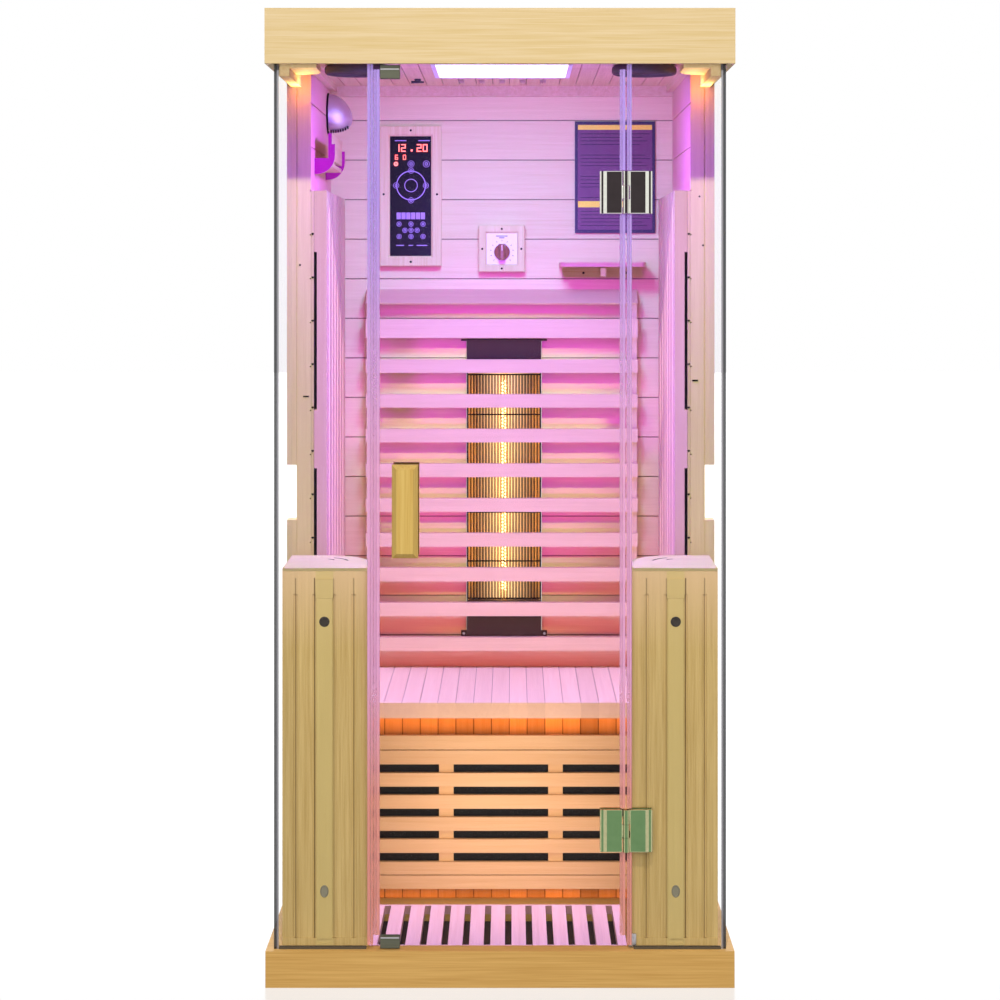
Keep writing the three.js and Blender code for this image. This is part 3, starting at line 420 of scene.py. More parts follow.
bmesh.ops.spin(bm, geom=rim, cent=HEATER_LAMP, axis=(0, 0, 1), angle=2 * math.pi * turns, steps=coil_steps,
               dvec=(0, 0, COIL_PITCH * turns / coil_steps / 1000))
bmesh.ops.holes_fill(bm, edges=[edge for edge in bm.edges if edge.is_boundary])
bmesh.ops.recalc_face_normals(bm, faces=bm.faces)
add_piece(bm, "heater_filament", "cabin", "heater_quartz", glow, smooth_angle=60)

quartz = coated("clear_quartz", "#ffe9c8", "#ffdcab", 6, (0.04, 0.1), 0.02, Alpha=0.22,
                Emission_Color=linear("#ffb04a"), Emission_Strength=1.6)
bm = bmesh.new()
turned(bm, [(0, LAMP_BOTTOM), (6, LAMP_BOTTOM), (9, LAMP_BOTTOM + 6), (9, LAMP_TOP - 6), (6, LAMP_TOP),
            (0, LAMP_TOP)], HEATER_LAMP, (0, 0, 1), 32)
add_piece(bm, "heater_lamp_glass", "cabin", "heater_quartz", quartz, replaces=("heater_tube",), smooth_angle=50)

# The wire guard of the heater: round steel wires, 3 mm thick, welded to level wires and to legs on the housing.
# Blackened by heat to a dark bronze.
GUARD_HALF = 83
GUARD_FRONT = 823.1
WIRE_MM = 3.2
WIRE_COUNT = 25
GUARD_LEVELS = (636, 720, 830, 939, 1050, 1140)
burnt_wire = coated("heat_blackened_wire", "#190b07", "#0e0604", 1.5, (0.6, 0.75), 0.05, Specular_IOR_Level=0.1)


def rod(bm, start, end, radius, sides=8):
    """A straight round bar between two points in metres."""
    along = end - start
    turn = along.to_track_quat("Z", "Y").to_matrix().to_4x4()
    place = Matrix.Translation((start + end) / 2) @ turn
    bmesh.ops.create_cone(bm, cap_ends=True, segments=sides, radius1=radius / 1000, radius2=radius / 1000,
                          depth=along.length, matrix=place)


bm = bmesh.new()
wire_pitch = (2 * GUARD_HALF - WIRE_MM) / (WIRE_COUNT - 1)
for i in range(WIRE_COUNT):
    x = HEATER_X - GUARD_HALF + WIRE_MM / 2 + i * wire_pitch
    rod(bm, at(x, GUARD_FRONT, GUARD_LEVELS[0] - 1), at(x, GUARD_FRONT, GUARD_LEVELS[-1] + 1), WIRE_MM / 2, 6)
for level in GUARD_LEVELS:
    rod(bm, at(HEATER_X - GUARD_HALF, GUARD_FRONT + 1.6, level),
        at(HEATER_X + GUARD_HALF, GUARD_FRONT + 1.6, level), WIRE_MM / 2)
    for side in (-1, 1):
        x = HEATER_X + side * (GUARD_HALF - WIRE_MM / 2)
        rod(bm, at(x, GUARD_FRONT, level), at(x, 835.5, level), WIRE_MM / 2)
add_piece(bm, "heater_wire_guard", "cabin", "heater_black_steel", burnt_wire, replaces=("heater_guard",),
          smooth_angle=50)


# The corner heater boxes: fluted fronts of knotless hemlock, darker and greener than the rest, with a cover strip
# of yellower wood down the middle, painted dark shade in the flutes, painted light that turns the fronts paler and
# pinker towards the top, and pale lids with curved slots whose walls carry painted shade.
STRIP_X = 338.25
STRIP_HALF = 17
FLUTES = ((282, 0.5), (320.5, 0.35), (357.5, 0.75), (394, 0.5))
FLUTE_LINE = 1.3
box_wood = hemlock("hemlock_box", "#d3b77a", "#b99b5e", "Z", ("X", 37.3), 282, 0.1)
tree = box_wood.node_tree
shader = tree.nodes["Principled BSDF"]
tint = shader.inputs["Base Color"].links[0].from_socket
split = node(tree, "SeparateXYZ", {"Vector": node(tree, "TexCoord").outputs["Object"]})
reach = node(tree, "Math", {0: split.outputs["X"]}, operation="ABSOLUTE")
# Painted light: the fronts turn paler and pinker towards the top.
painted_light_near_top = node(tree, "MapRange", {
    "Value": split.outputs["Z"], "From Min": 0.64, "From Max": 0.8, "To Max": 0.6})
tint = node(tree, "Mix", {"Factor": painted_light_near_top.outputs["Result"], 6: tint, 7: linear("#e2bf9c")},
            data_type="RGBA").outputs[2]
on_strip = node(tree, "Math", {0: reach.outputs[0], 1: STRIP_X / 1000, 2: STRIP_HALF / 1000},
                operation="COMPARE")
strip_share = node(tree, "Math", {0: on_strip.outputs[0], 1: 0.7}, operation="MULTIPLY")
tint = node(tree, "Mix", {"Factor": strip_share.outputs[0], 6: tint, 7: linear("#cbb576")},
            data_type="RGBA").outputs[2]
# Painted shade: a dark line down each flute.
below_top = node(tree, "Math", {0: split.outputs["Z"], 1: 0.4325, 2: 0.3465}, operation="COMPARE")
for flute, darkness in FLUTES:
    line = node(tree, "Math", {0: reach.outputs[0], 1: flute / 1000, 2: FLUTE_LINE / 1000},
                operation="COMPARE")
    shade = node(tree, "Math", {0: line.outputs[0], 1: below_top.outputs[0]}, operation="MULTIPLY")
    share = node(tree, "Math", {0: shade.outputs[0], 1: darkness}, operation="MULTIPLY")
    tint = node(tree, "Mix", {"Factor": share.outputs[0], 6: tint, 7: linear("#4a3616")},
                data_type="RGBA").outputs[2]
tree.links.new(tint, shader.inputs["Base Color"])
dress(box_wood, "left_heater_box", "right_heater_box")
lid_wood = hemlock("hemlock_lid", "#f3dcba", "#e4c69f", "X")
tree = lid_wood.node_tree
shader = tree.nodes["Principled BSDF"]
tint = shader.inputs["Base Color"].links[0].from_socket
split = node(tree, "SeparateXYZ", {"Vector": node(tree, "TexCoord").outputs["Object"]})
# Painted shade on the slot walls that face the front, behind the lid's front edge.
facing = node(tree, "SeparateXYZ", {"Vector": node(tree, "NewGeometry").outputs["Normal"]})
upright = node(tree, "Math", {0: facing.outputs["Y"], 1: -0.3}, operation="LESS_THAN")
past_edge = node(tree, "Math", {0: split.outputs["Y"], 1: at(0, 50, 0).y}, operation="GREATER_THAN")
slot_painted_shade = node(tree, "Math", {0: upright.outputs[0], 1: past_edge.outputs[0]}, operation="MULTIPLY")
tint = node(tree, "Mix", {"Factor": slot_painted_shade.outputs[0], 6: tint, 7: linear("#4a2c34")}, data_type="RGBA")
tree.links.new(tint.outputs[2], shader.inputs["Base Color"])
dress(lid_wood, "left_heater_box_lid", "right_heater_box_lid")

# Fixings of the boxes: a dished bolt near the top of each strip, drawn dark as painted shade of the hole it sits
# in, an oblong grey plug near its foot, and the upper end of each strip.
BOX_FRONT = 37.5
STRIP_FACE = BOX_FRONT - 3
BOLT_CUP = [(0, 0.2), (5.8, 0.2), (7.4, 0.9), (9.2, 0.9), (10, 0.4), (10, -0.2), (0, -0.2)]
grey_plug = coated("grey_nylon_plug", "#8f8a76", "#716b58", 2.0, (0.45, 0.6), 0.08)
# The bolt is drawn near black as painted shade of the hole it sits in.
bolt_with_painted_hole_shade = coated("oiled_steel_bolt_painted_hole_shade", "#2a1c12", "#140d07", 3.0, (0.25, 0.4), 0.1)
for side, name in SIDES:
    bm = bmesh.new()
    middle = Matrix.Translation(at(side * STRIP_X, STRIP_FACE - 0.6, 176))
    plug = middle @ Matrix.Rotation(math.radians(90), 4, "X")
    made = bmesh.ops.create_cone(bm, cap_ends=True, segments=28, radius1=0.0085, radius2=0.0072, depth=0.0016,
                                 matrix=plug)
    bmesh.ops.scale(bm, vec=(1, 1, 1.45), verts=made["verts"], space=Matrix.Translation(-plug.translation))
    front = min(bm.faces, key=lambda face: face.calc_center_median().y)
    bmesh.ops.inset_region(bm, faces=[front], thickness=0.0015)
    bmesh.ops.translate(bm, verts=front.verts, vec=(0, 0.0009, 0))
    add_piece(bm, name + "_box_plug", "cabin", "box_wood", grey_plug)
    bm = bmesh.new()
    turned(bm, BOLT_CUP, at(side * STRIP_X, STRIP_FACE, 695), (0, -1, 0), 32)
    add_piece(bm, name + "_box_bolt", "cabin", "catch_steel", bolt_with_painted_hole_shade, smooth_angle=40)
    bm = bmesh.new()
    block(bm, (side * STRIP_X - STRIP_HALF, STRIP_FACE, 740.2),
          (side * STRIP_X + STRIP_HALF, BOX_FRONT - 0.1, 777), 0.3)
    add_piece(bm, name + "_strip_end", "cabin", "box_wood", box_wood)


# Panes of 8 mm float glass with ground edges: two sides, two beside the door, and the door itself.
# The faces are clear. The front edges of the side panes carry painted light and shade, lilac inside and dark blue
# outside.
def pane_glass(name, painted_edge_light_and_shade=None):
    """Clear glass with a trace of smears, and with painted light and shade on its front edge where two colours are
    given.
    """
    material, tree, shader = surface(name, Base_Color=linear("#f2f7f5"), IOR=1.5)
    place = node(tree, "TexCoord").outputs["Object"]
    smears = node(tree, "TexNoise", {"Vector": place, "Scale": 1000 / 160, "Detail": 3.0})
    gloss = node(tree, "MapRange", {"Value": smears.outputs["Fac"], "To Min": 0.01, "To Max": 0.05})
    tree.links.new(gloss.outputs["Result"], shader.inputs["Roughness"])
    haze = node(tree, "MapRange", {"Value": smears.outputs["Fac"], "To Min": 0.02, "To Max": 0.04})
    if not painted_edge_light_and_shade:
        tree.links.new(haze.outputs["Result"], shader.inputs["Alpha"])
        return material
    # Painted light and shade on the front edge: lilac on its inner part, dark blue on its outer part.
    spot = node(tree, "SeparateXYZ", {"Vector": place})
    edge = node(tree, "Math", {0: spot.outputs["Y"], 1: at(0, PANE_FRONT + 0.8, 0).y},
                operation="LESS_THAN").outputs[0]
    reach = node(tree, "Math", {0: spot.outputs["X"]}, operation="ABSOLUTE")
    outward = node(tree, "MapRange", {"Value": reach.outputs[0], "From Min": 0.4268, "From Max": 0.4290})
    painted_edge_colour = node(tree, "Mix", {
        "Factor": outward.outputs["Result"], 6: linear(painted_edge_light_and_shade[0]), 7: linear(painted_edge_light_and_shade[1])}, data_type="RGBA")
    tint = node(tree, "Mix", {
        "Factor": edge, 6: linear("#f2f7f5"), 7: painted_edge_colour.outputs[2]}, data_type="RGBA")
    tree.links.new(tint.outputs[2], shader.inputs["Base Color"])
    alpha = node(tree, "Mix", {"Factor": edge, 2: haze.outputs["Result"], 3: 0.94}, data_type="FLOAT")
    tree.links.new(alpha.outputs[0], shader.inputs["Alpha"])
    return material


PANE_FRONT = 17
PANE_BACK = 25
dress(pane_glass("float_glass_front"), "left_front_glass", "right_front_glass", "door_glass")
dress(pane_glass("float_glass_side", ("#a9a4c4", "#161b2c")), "left_side_glass", "right_side_glass")


# Channels that hold the feet of the two fixed front panes: folded aluminium, painted brown.
BASE_TOP = 70
brown_paint = coated("brown_painted_channel", "#5a5040", "#40382c", 3, (0.4, 0.55), 0.06)
for side, name in SIDES:
    bm = bmesh.new()
    for low, high in ((PANE_FRONT - 2, PANE_FRONT - 0.4), (PANE_BACK + 0.4, PANE_BACK + 2)):
        block(bm, (side * 424, low, BASE_TOP), (side * 256, high, BASE_TOP + 4), 0.4)
    add_piece(bm, name + "_pane_channel", "cabin", "black_heater", brown_paint)


# Seals of clear soft vinyl on both upright edges of the door and on the panes beside them.
# Ribbed along their length, the ribs drawn in a whiter, denser copy of the vinyl as painted highlight stripes of
# the lamp light.
def vinyl(name, light, dark, alpha):
    """Clear vinyl with painted light in its colour: the orange glow of the legs low down, the violet of the lamp
    high up.
    """
    material = coated(name, light, dark, 4, (0.15, 0.3), 0.05, Alpha=alpha)
    tree = material.node_tree
    tint = tree.nodes["Principled BSDF"].inputs["Base Color"]
    place = node(tree, "TexCoord").outputs["Object"]
    level = node(tree, "SeparateXYZ", {"Vector": place}).outputs["Z"]
    # Painted light: orange low down, pink in the middle, violet high up, multiplied into the vinyl's colour.
    low = node(tree, "MapRange", {"Value": level, "From Min": 0.35, "From Max": 0.6})
    high = node(tree, "MapRange", {"Value": level, "From Min": 1.0, "From Max": 1.5})
    glow = node(tree, "Mix", {
        "Factor": low.outputs["Result"], 6: linear("#ffb3a4"), 7: linear("#ffc2ea")}, data_type="RGBA")
    glow = node(tree, "Mix", {
        "Factor": high.outputs["Result"], 6: glow.outputs[2], 7: linear("#cdb0ff")}, data_type="RGBA")
    painted_light_tint = node(tree, "Mix", {"Factor": 1.0, 6: tint.links[0].from_socket, 7: glow.outputs[2]},
                   data_type="RGBA", blend_type="MULTIPLY")
    tree.links.new(painted_light_tint.outputs[2], tint)
    return material


clear_vinyl = vinyl("clear_soft_vinyl", "#f4f0f4", "#e4dee6", 0.36)
# The ribs' copy of the vinyl is whiter and denser: painted highlight stripes.
rib_vinyl_painted_highlight = vinyl("clear_soft_vinyl_ribs_painted_highlight", "#ffffff", "#f4f0f6", 0.6)


def seal_strip(bm, x0, x1, z0, z1, ribs):
    """A strip along a pane edge: two thin cheeks on the glass faces and rounded ribs along the front one."""
    for low, high in ((PANE_FRONT - 1.6, PANE_FRONT - 0.3), (PANE_BACK + 0.3, PANE_BACK + 1.6)):
        block(bm, (x0, low, z0), (x1, high, z1), 0.4)
    plain = set(bm.faces)
    for x in ribs:
        block(bm, (x - 1.2, PANE_FRONT - 3, z0), (x + 1.2, PANE_FRONT - 1.2, z1), 0.8)
    # The ribs take the second material, the painted highlight.
    for face in bm.faces:
        if face not in plain:
            face.material_index = 1


bm = bmesh.new()
seal_strip(bm, -243, -231, 97, 1757, (-234.6, -232.2))
block(bm, (-243, PANE_FRONT - 1, 97), (-236.4, PANE_BACK + 1, 1757), 1.0)
add_piece(bm, "door_seal", "door", "clear_seal", clear_vinyl, rib_vinyl_painted_highlight, replaces=("door_edge_seal",))
bm = bmesh.new()
seal_strip(bm, -254.5, -243.6, 78, 1788, (-253.2, -251, -245.2))
block(bm, (-248.6, PANE_FRONT - 1, 78), (-243.6, PANE_BACK + 1, 1788), 1.0)
add_piece(bm, "latch_pane_seal", "cabin", "clear_seal", clear_vinyl, rib_vinyl_painted_highlight)
bm = bmesh.new()
for z0, z1 in ((78, 256), (340, 1479), (1563, 1788)):
    seal_strip(bm, 243.4, 253, z0, z1, (250.6,))
    block(bm, (243.4, PANE_FRONT + 1, z0), (246.7, PANE_BACK - 1, z1), 1.0)
add_piece(bm, "hinge_pane_seal", "cabin", "clear_seal", clear_vinyl, rib_vinyl_painted_highlight)
bm = bmesh.new()
for z0, z1 in ((97, 256), (340, 1479), (1563, 1757)):
    seal_strip(bm, 229.8, 240.4, z0, z1, (237, 239.2))
add_piece(bm, "hinge_door_seal", "door", "clear_seal", clear_vinyl, rib_vinyl_painted_highlight)


# Clamp hinges: cast plates on both faces of the glass, joined through a notch, polished and chromed.
# The flat faces, a groove near each far edge and a stripe down the front of each barrel carry painted reflections
# of the room, dark for the upper hinge and green for the lower one. The broad chamfers and the barrels catch the
# light, the lower hinge's chrome drawn yellower as a painted reflection of the wood.
HINGE_X = 241.6
HINGE_DEPTH = 10
HINGE_HALF = 40.5
chrome = coated("polished_chrome", "#f0f0e6", "#dcdcd2", 5, (0.08, 0.16), 0.01, Metallic=1.0)
chrome_with_painted_wood_reflection = coated("polished_chrome_painted_wood_reflection", "#c0bd92", "#a3a179", 5, (0.12, 0.2), 0.01, Metallic=1.0)
painted_dark_reflection = coated("chrome_painted_dark_reflection", "#332c2f", "#292325", 14, (0.4, 0.5), 0.01,
                     Specular_IOR_Level=0.1)
painted_green_reflection = coated("chrome_painted_green_reflection", "#708f63", "#5f8055", 14, (0.4, 0.5), 0.01,
                      Specular_IOR_Level=0.1)


def hinge_plate(bm, level, direction, front, back, chamfer_front):
    """A plate drawn in plan, with its far edge chamfered on the outside, and swept up its height."""
    near = HINGE_X + direction * 7.6
    far = HINGE_X + direction * 50
    shown, hidden = (front, back) if chamfer_front else (back, front)
    step = 2.6 if chamfer_front else -2.6
    plan = [(near, hidden), (near, shown), (far - direction * 12, shown), (far - direction * 6.5, shown + step / 2),
            (far - direction * 2.8, shown + step * 0.8), (far - direction * 2.6, shown + step / 2),
            (far, shown + step / 2), (far, hidden)]
    ends = [bm.verts.new(at(x, depth, level - HINGE_HALF)) for x, depth in plan]
    face = bm.faces.new(ends)
    swept = bmesh.ops.extrude_face_region(bm, geom=[face])
    tops = [item for item in swept["geom"] if isinstance(item, bmesh.types.BMVert)]
    bmesh.ops.translate(bm, verts=tops, vec=(0, 0, 2 * HINGE_HALF / 1000))


def barrel(bm, level, z0, z1, direction):
    """One knuckle of the hinge with the arm that joins it to its plate."""
    rod(bm, at(HINGE_X, HINGE_DEPTH, level + z0), at(HINGE_X, HINGE_DEPTH, level + z1), 6.2, 28)
    block(bm, (HINGE_X, HINGE_DEPTH - 1, level + z0),
          (HINGE_X + direction * 9, HINGE_DEPTH + 5, level + z1), 0.6)


for place_name, level, rim_chrome, flat_painted_reflection in (("upper", 1521, chrome, painted_dark_reflection),
                                                   ("lower", 298, chrome_with_painted_wood_reflection, painted_green_reflection)):
    for direction, body, leaf, knuckles in (
            (-1, "door", "door_leaf", ((-12.3, 12.3),)),
            (1, "cabin", "pane_leaf", ((12.9, HINGE_HALF), (-HINGE_HALF, -12.9)))):
        bm = bmesh.new()
        hinge_plate(bm, level, direction, 8.5, PANE_FRONT - 0.4, True)
        hinge_plate(bm, level, direction, PANE_BACK + 0.4, 33.5, False)
        block(bm, (HINGE_X + direction * 7.8, PANE_FRONT - 1, level - 18),
              (HINGE_X + direction * 23, PANE_BACK + 1, level + 18), 0.5)
        for z0, z1 in knuckles:
            barrel(bm, level, z0, z1, direction)
        bmesh.ops.recalc_face_normals(bm, faces=bm.faces)
        flats = [face for face in bm.faces if abs(face.normal.y) > 0.98 and face.calc_area() > 0.0015]
        grooves = [face for face in bm.faces
                   if abs(face.normal.y) > 0.9 and 43.5 < abs(1000 * face.calc_center_median().x - HINGE_X) < 47]
        bmesh.ops.inset_individual(bm, faces=flats, thickness=0.0014)
        knuckle_fronts = [face for face in bm.faces
                          if face.normal.y < -0.94 and abs(1000 * face.calc_center_median().x - HINGE_X) < 3]
        # The flat faces, the grooves and the barrel fronts take the second material: painted reflections.
        for face in flats + grooves + knuckle_fronts:
            face.material_index = 1
        node_name = f"{place_name}_hinge_{leaf}"
        add_piece(bm, node_name + "_cast", body, "hinge_chrome", rim_chrome, flat_painted_reflection, replaces=(node_name,),
                  smooth_angle=30)


# The handles: chamfered hemlock bars on round pegs, inside and outside the door pane, oiled golden.
dress(hemlock("hemlock_handle", "#d0b167", "#be994e", "Z"), "outer_handle", "inner_handle")


# The catches: clips of dull nickelled steel round the top and bottom edge of the door, each with a keeper plate
# screwed to the frame beside it. A thin bright strip where the clip meets the glass is a painted highlight.
nickel = coated("dull_nickel", "#66685a", "#4a4c40", 1.6, (0.45, 0.6), 0.05, "X", Specular_IOR_Level=0.2)
for name, low, high, lip in (("top_catch", 1739, 1765, 1757), ("bottom_catch", 72, 95, 92.5)):
    bm = bmesh.new()
    for front, back in ((12, PANE_FRONT - 0.4), (PANE_BACK + 0.4, 30)):
        block(bm, (-230, front, low), (-192, back, high), 1.2)
    edge = (1760.5, high - 1) if name == "top_catch" else (low + 1, 77.6)
    block(bm, (-229, 13, edge[0]), (-193, 29, edge[1]), 0.5)
    add_piece(bm, name + "_clip", "door", "catch_steel", nickel, replaces=(name,))
    bm = bmesh.new()
    # A thin bright zinc strip along the glass edge: a painted highlight.
    block(bm, (-229, 11.4, lip - 1.2), (-193, 12.4, lip + 1.2), 0.4)
    add_piece(bm, name + "_painted_highlight", "door", "catch_steel", zinc)
bm = bmesh.new()
block(bm, (247, 27.6, BASE_TOP), (262, 34, BASE_TOP + 26), 1.5)
screw(bm, 254.5, 27.6, BASE_TOP + 18, 3)
add_piece(bm, "pane_clip", "cabin", "catch_steel", zinc)


# The control panel: a frame of four mitred hemlock rails with countersunk screws, round a sheet of black glass.
WALL_FACE = 839.7
frame_wood = hemlock("hemlock_frame", "#f0d8b4", "#dfc094", "Z")


def mitred_frame(bm, left, right, bottom, top, border, front):
    """Four rails round an opening, their inner edge sunk by a bevel, drawn as one ring swept back to the wall."""
    rims = []
    for inset, depth in ((0, WALL_FACE), (0, front + 1.5), (1.5, front), (border - 4, front), (border, front + 3),
                         (border, WALL_FACE)):
        corners = ((left + inset, bottom + inset), (right - inset, bottom + inset), (right - inset, top - inset),
                   (left + inset, top - inset))
        verts = [bm.verts.new(at(x, depth, z)) for x, z in corners]
        rims.append([bm.edges.new((verts[i], verts[(i + 1) % 4])) for i in range(4)])
    for outer, inner in zip(rims, rims[1:] + rims[:1]):
        bmesh.ops.bridge_loops(bm, edges=outer + inner)
    bmesh.ops.recalc_face_normals(bm, faces=bm.faces)


bm = bmesh.new()
mitred_frame(bm, -275, -136, 1384, 1700, 23, 820)
add_piece(bm, "control_frame", "cabin", "pale_wood", frame_wood, replaces=("control_panel_frame",))
bm = bmesh.new()
for x, z in ((-205, 1690), (-205, 1394), (-146, 1546), (-266, 1546)):
    screw(bm, x, 820, z, 2.6)
add_piece(bm, "control_frame_screws", "cabin", "black_heater", blued_steel)

# The face of the panel: black printed glass with round touch keys in lilac and a red lit display.
dress(coated("black_printed_glass", "#1d1226", "#150c1c", 22, (0.2, 0.3), 0.01, Specular_IOR_Level=0.1),
      "control_panel")
PANEL_X = -204.5
PANEL_FACE = 824
PRINT_MM = 0.4
lilac_print = coated("lilac_screen_print", "#b9a6e6", "#9d88cc", 3, (0.35, 0.5), 0.02,
                     Emission_Color=linear("#8a78d0"), Emission_Strength=0.2)


def ring_mark(bm, x, z, radius, width, segments=40):
    """A flat printed ring, swept round its middle."""
    middle = at(x, PANEL_FACE, z)
    outer = Vector((radius / 1000, 0, 0))
    inner = Vector(((radius - width) / 1000, 0, 0))
    lift = Vector((0, -PRINT_MM / 1000, 0))
    verts = [bm.verts.new(middle + spot) for spot in (outer, outer + lift, inner + lift, inner)]
    edges = [bm.edges.new((verts[i], verts[(i + 1) % 4])) for i in range(4)]
    bmesh.ops.spin(bm, geom=verts + edges, cent=middle, axis=(0, 1, 0), angle=math.radians(360), steps=segments,
                   use_merge=True)


bm = bmesh.new()
RING_LEVEL = 1566
RING_RADIUS = 33.5
ring_mark(bm, PANEL_X, RING_LEVEL, RING_RADIUS, 2.2, 64)
ring_mark(bm, PANEL_X, RING_LEVEL, 15, 1.6, 48)
touch_keys = [(PANEL_X, RING_LEVEL + RING_RADIUS, 6.6), (PANEL_X, RING_LEVEL - RING_RADIUS, 6.6),
              (PANEL_X - RING_RADIUS, RING_LEVEL, 6.6), (PANEL_X + RING_RADIUS, RING_LEVEL, 6.6),
              (PANEL_X, 1614.5, 7.6), (PANEL_X + 34.5, 1614.5, 7.6)]
for row, reach in ((1479, 27), (1465, 13.8), (1451, 27)):
    touch_keys += [(PANEL_X + step * reach, row, 5.6) for step in (-1, 0, 1)]
for x, z, radius in touch_keys:
    ring_mark(bm, x, z, radius, 1.1)
    ring_mark(bm, x, z, 0.5 * radius, 0.25 * radius, 20)
for i in range(6):
    x = PANEL_X - 32.5 + i * 10.9
    block(bm, (x, PANEL_FACE - PRINT_MM, 1490), (x + 9.4, PANEL_FACE, 1505), 0.15)
for x, z, length in ((-241, 1667, 26), (-188, 1667, 26), (-238, 1431, 18), (-210, 1431, 10), (-192, 1431, 24)):
    block(bm, (x, PANEL_FACE - PRINT_MM, z - 1), (x + length, PANEL_FACE, z + 1), 0.15)
bmesh.ops.recalc_face_normals(bm, faces=bm.faces)
add_piece(bm, "panel_touch_marks", "cabin", "lamp_white", lilac_print)

# The lit figures of the display: seven bars each, for plain numbers, in red light with a pale core.
SEGMENTS = {"0": "abcdef", "1": "bc", "2": "abdeg", "4": "bcfg", "5": "acdfg", "6": "acdefg"}
red_light = coated("red_light_segments", "#ffb3a0", "#ff8a78", 4, (0.3, 0.4), 0.01,
                   Emission_Color=linear("#ff6a50"), Emission_Strength=2.6)


def figure(bm, digit, x, z, width, height):
    """One number made of the bars that are lit, its lower left corner given."""
    bar = 0.2 * width
    half = height / 2
    bars = {"a": (0, height - bar, width, height), "d": (0, 0, width, bar),
            "g": (0, half - bar / 2, width, half + bar / 2), "f": (0, half, bar, height), "e": (0, 0, bar, half),
            "b": (width - bar, half, width, height), "c": (width - bar, 0, width, half)}
    for key in SEGMENTS[digit]:
        x0, z0, x1, z1 = bars[key]
        block(bm, (x + x0, PANEL_FACE - PRINT_MM, z + z0), (x + x1, PANEL_FACE, z + z1), 0.15)


bm = bmesh.new()
for digit, x in (("1", -241), ("2", -227), ("2", -191.5), ("0", -178)):
    figure(bm, digit, x, 1642, 10.5, 17)
for digit, x in (("6", -240.5), ("0", -222.5)):
    figure(bm, digit, x, 1624, 6.5, 11)
block(bm, (-205, PANEL_FACE - PRINT_MM, 1643), (-201, PANEL_FACE, 1647), 0.15)
ring_mark(bm, PANEL_X - 34, 1614.5, 4.8, 3.0, 24)
bmesh.ops.recalc_face_normals(bm, faces=bm.faces)
add_piece(bm, "panel_figures", "cabin", "lamp_white", red_light)


# The dial: a square mitred frame with a screw in each rail, a white enamelled plate with a scale of short strokes,
# and a brown moulded knob with a pale pointer that turns on it.
DIAL_X = 0.5
DIAL_LEVEL = 1416
DIAL_FACE = 822
bm = bmesh.new()
mitred_frame(bm, -52, 52, 1371, 1476, 18, 819)
add_piece(bm, "dial_frame", "cabin", "dial_wood", frame_wood, replaces=("dial_plate",))
bm = bmesh.new()
for x, z in ((0, 1468), (0, 1379), (-44, 1423), (44, 1423)):
    screw(bm, x, 819, z, 2.4)
add_piece(bm, "dial_screws", "cabin", "black_heater", blued_steel)
bm = bmesh.new()
block(bm, (-34.4, DIAL_FACE, 1388.6), (34.4, WALL_FACE, 1458.4), 0.8)
add_piece(bm, "dial_face", "cabin", "lamp_white",
          coated("white_enamel", "#f7f5fb", "#eceaf2", 5, (0.15, 0.25), 0.02))
blue_print = coated("blue_screen_print", "#5a57b8", "#46439c", 2, (0.4, 0.5), 0.02)
bm = bmesh.new()
SCALE_STEPS = 11
for i in range(SCALE_STEPS):
    angle = math.radians(225 - i * 270 / (SCALE_STEPS - 1))
    ray = Vector((math.cos(angle), math.sin(angle)))
    inner, outer = (24 * ray, 27.5 * ray)
    rod(bm, at(DIAL_X + inner.x, DIAL_FACE - 0.2, DIAL_LEVEL + inner.y),
        at(DIAL_X + outer.x, DIAL_FACE - 0.2, DIAL_LEVEL + outer.y), 0.6, 6)
for x, z, length in ((-13, 1452, 26), (-6, 1448, 12)):
    block(bm, (x, DIAL_FACE - 0.5, z - 0.9), (x + length, DIAL_FACE, z + 0.9), 0.2)
add_piece(bm, "dial_scale", "cabin", "board_violet", blue_print)

bakelite = coated("brown_phenolic", "#a56d55", "#84503c", 4, (0.25, 0.4), 0.03)
bm = bmesh.new()
turned(bm, [(0, 0), (17.6, 0), (18, 1.2), (17, 6), (13, 8), (0, 8.4)], at(DIAL_X, DIAL_FACE - 0.5, DIAL_LEVEL),
       (0, -1, 0), 48)
grip = bmesh.ops.create_cube(bm, size=1, matrix=Matrix.LocRotScale(
    at(DIAL_X, DIAL_FACE - 14.5, DIAL_LEVEL), None, Vector((0.017, 0.018, 0.037))))
front = [vert for vert in grip["verts"] if vert.co.y < at(0, DIAL_FACE - 14.5, 0).y]
bmesh.ops.scale(bm, vec=(0.6, 1, 0.92), verts=front,
                space=Matrix.Translation(-at(DIAL_X, DIAL_FACE - 14.5, DIAL_LEVEL)))
edges = list({edge for vert in grip["verts"] for edge in vert.link_edges})
bmesh.ops.bevel(bm, geom=edges, offset=0.0022, offset_type="OFFSET", segments=3, profile=0.5, affect="EDGES",
                clamp_overlap=True, material=-1)
add_piece(bm, "dial_grip", "knob", "knob_brown", bakelite, replaces=("dial_knob",), smooth_angle=40)
bm = bmesh.new()
block(bm, (DIAL_X - 1, DIAL_FACE - 23.9, DIAL_LEVEL + 3), (DIAL_X + 1, DIAL_FACE - 23.2, DIAL_LEVEL + 16), 0.2)
add_piece(bm, "dial_pointer", "knob", "lamp_white",
          coated("pale_paint", "#f3e9dc", "#e6d9c8", 2, (0.4, 0.5), 0.02))


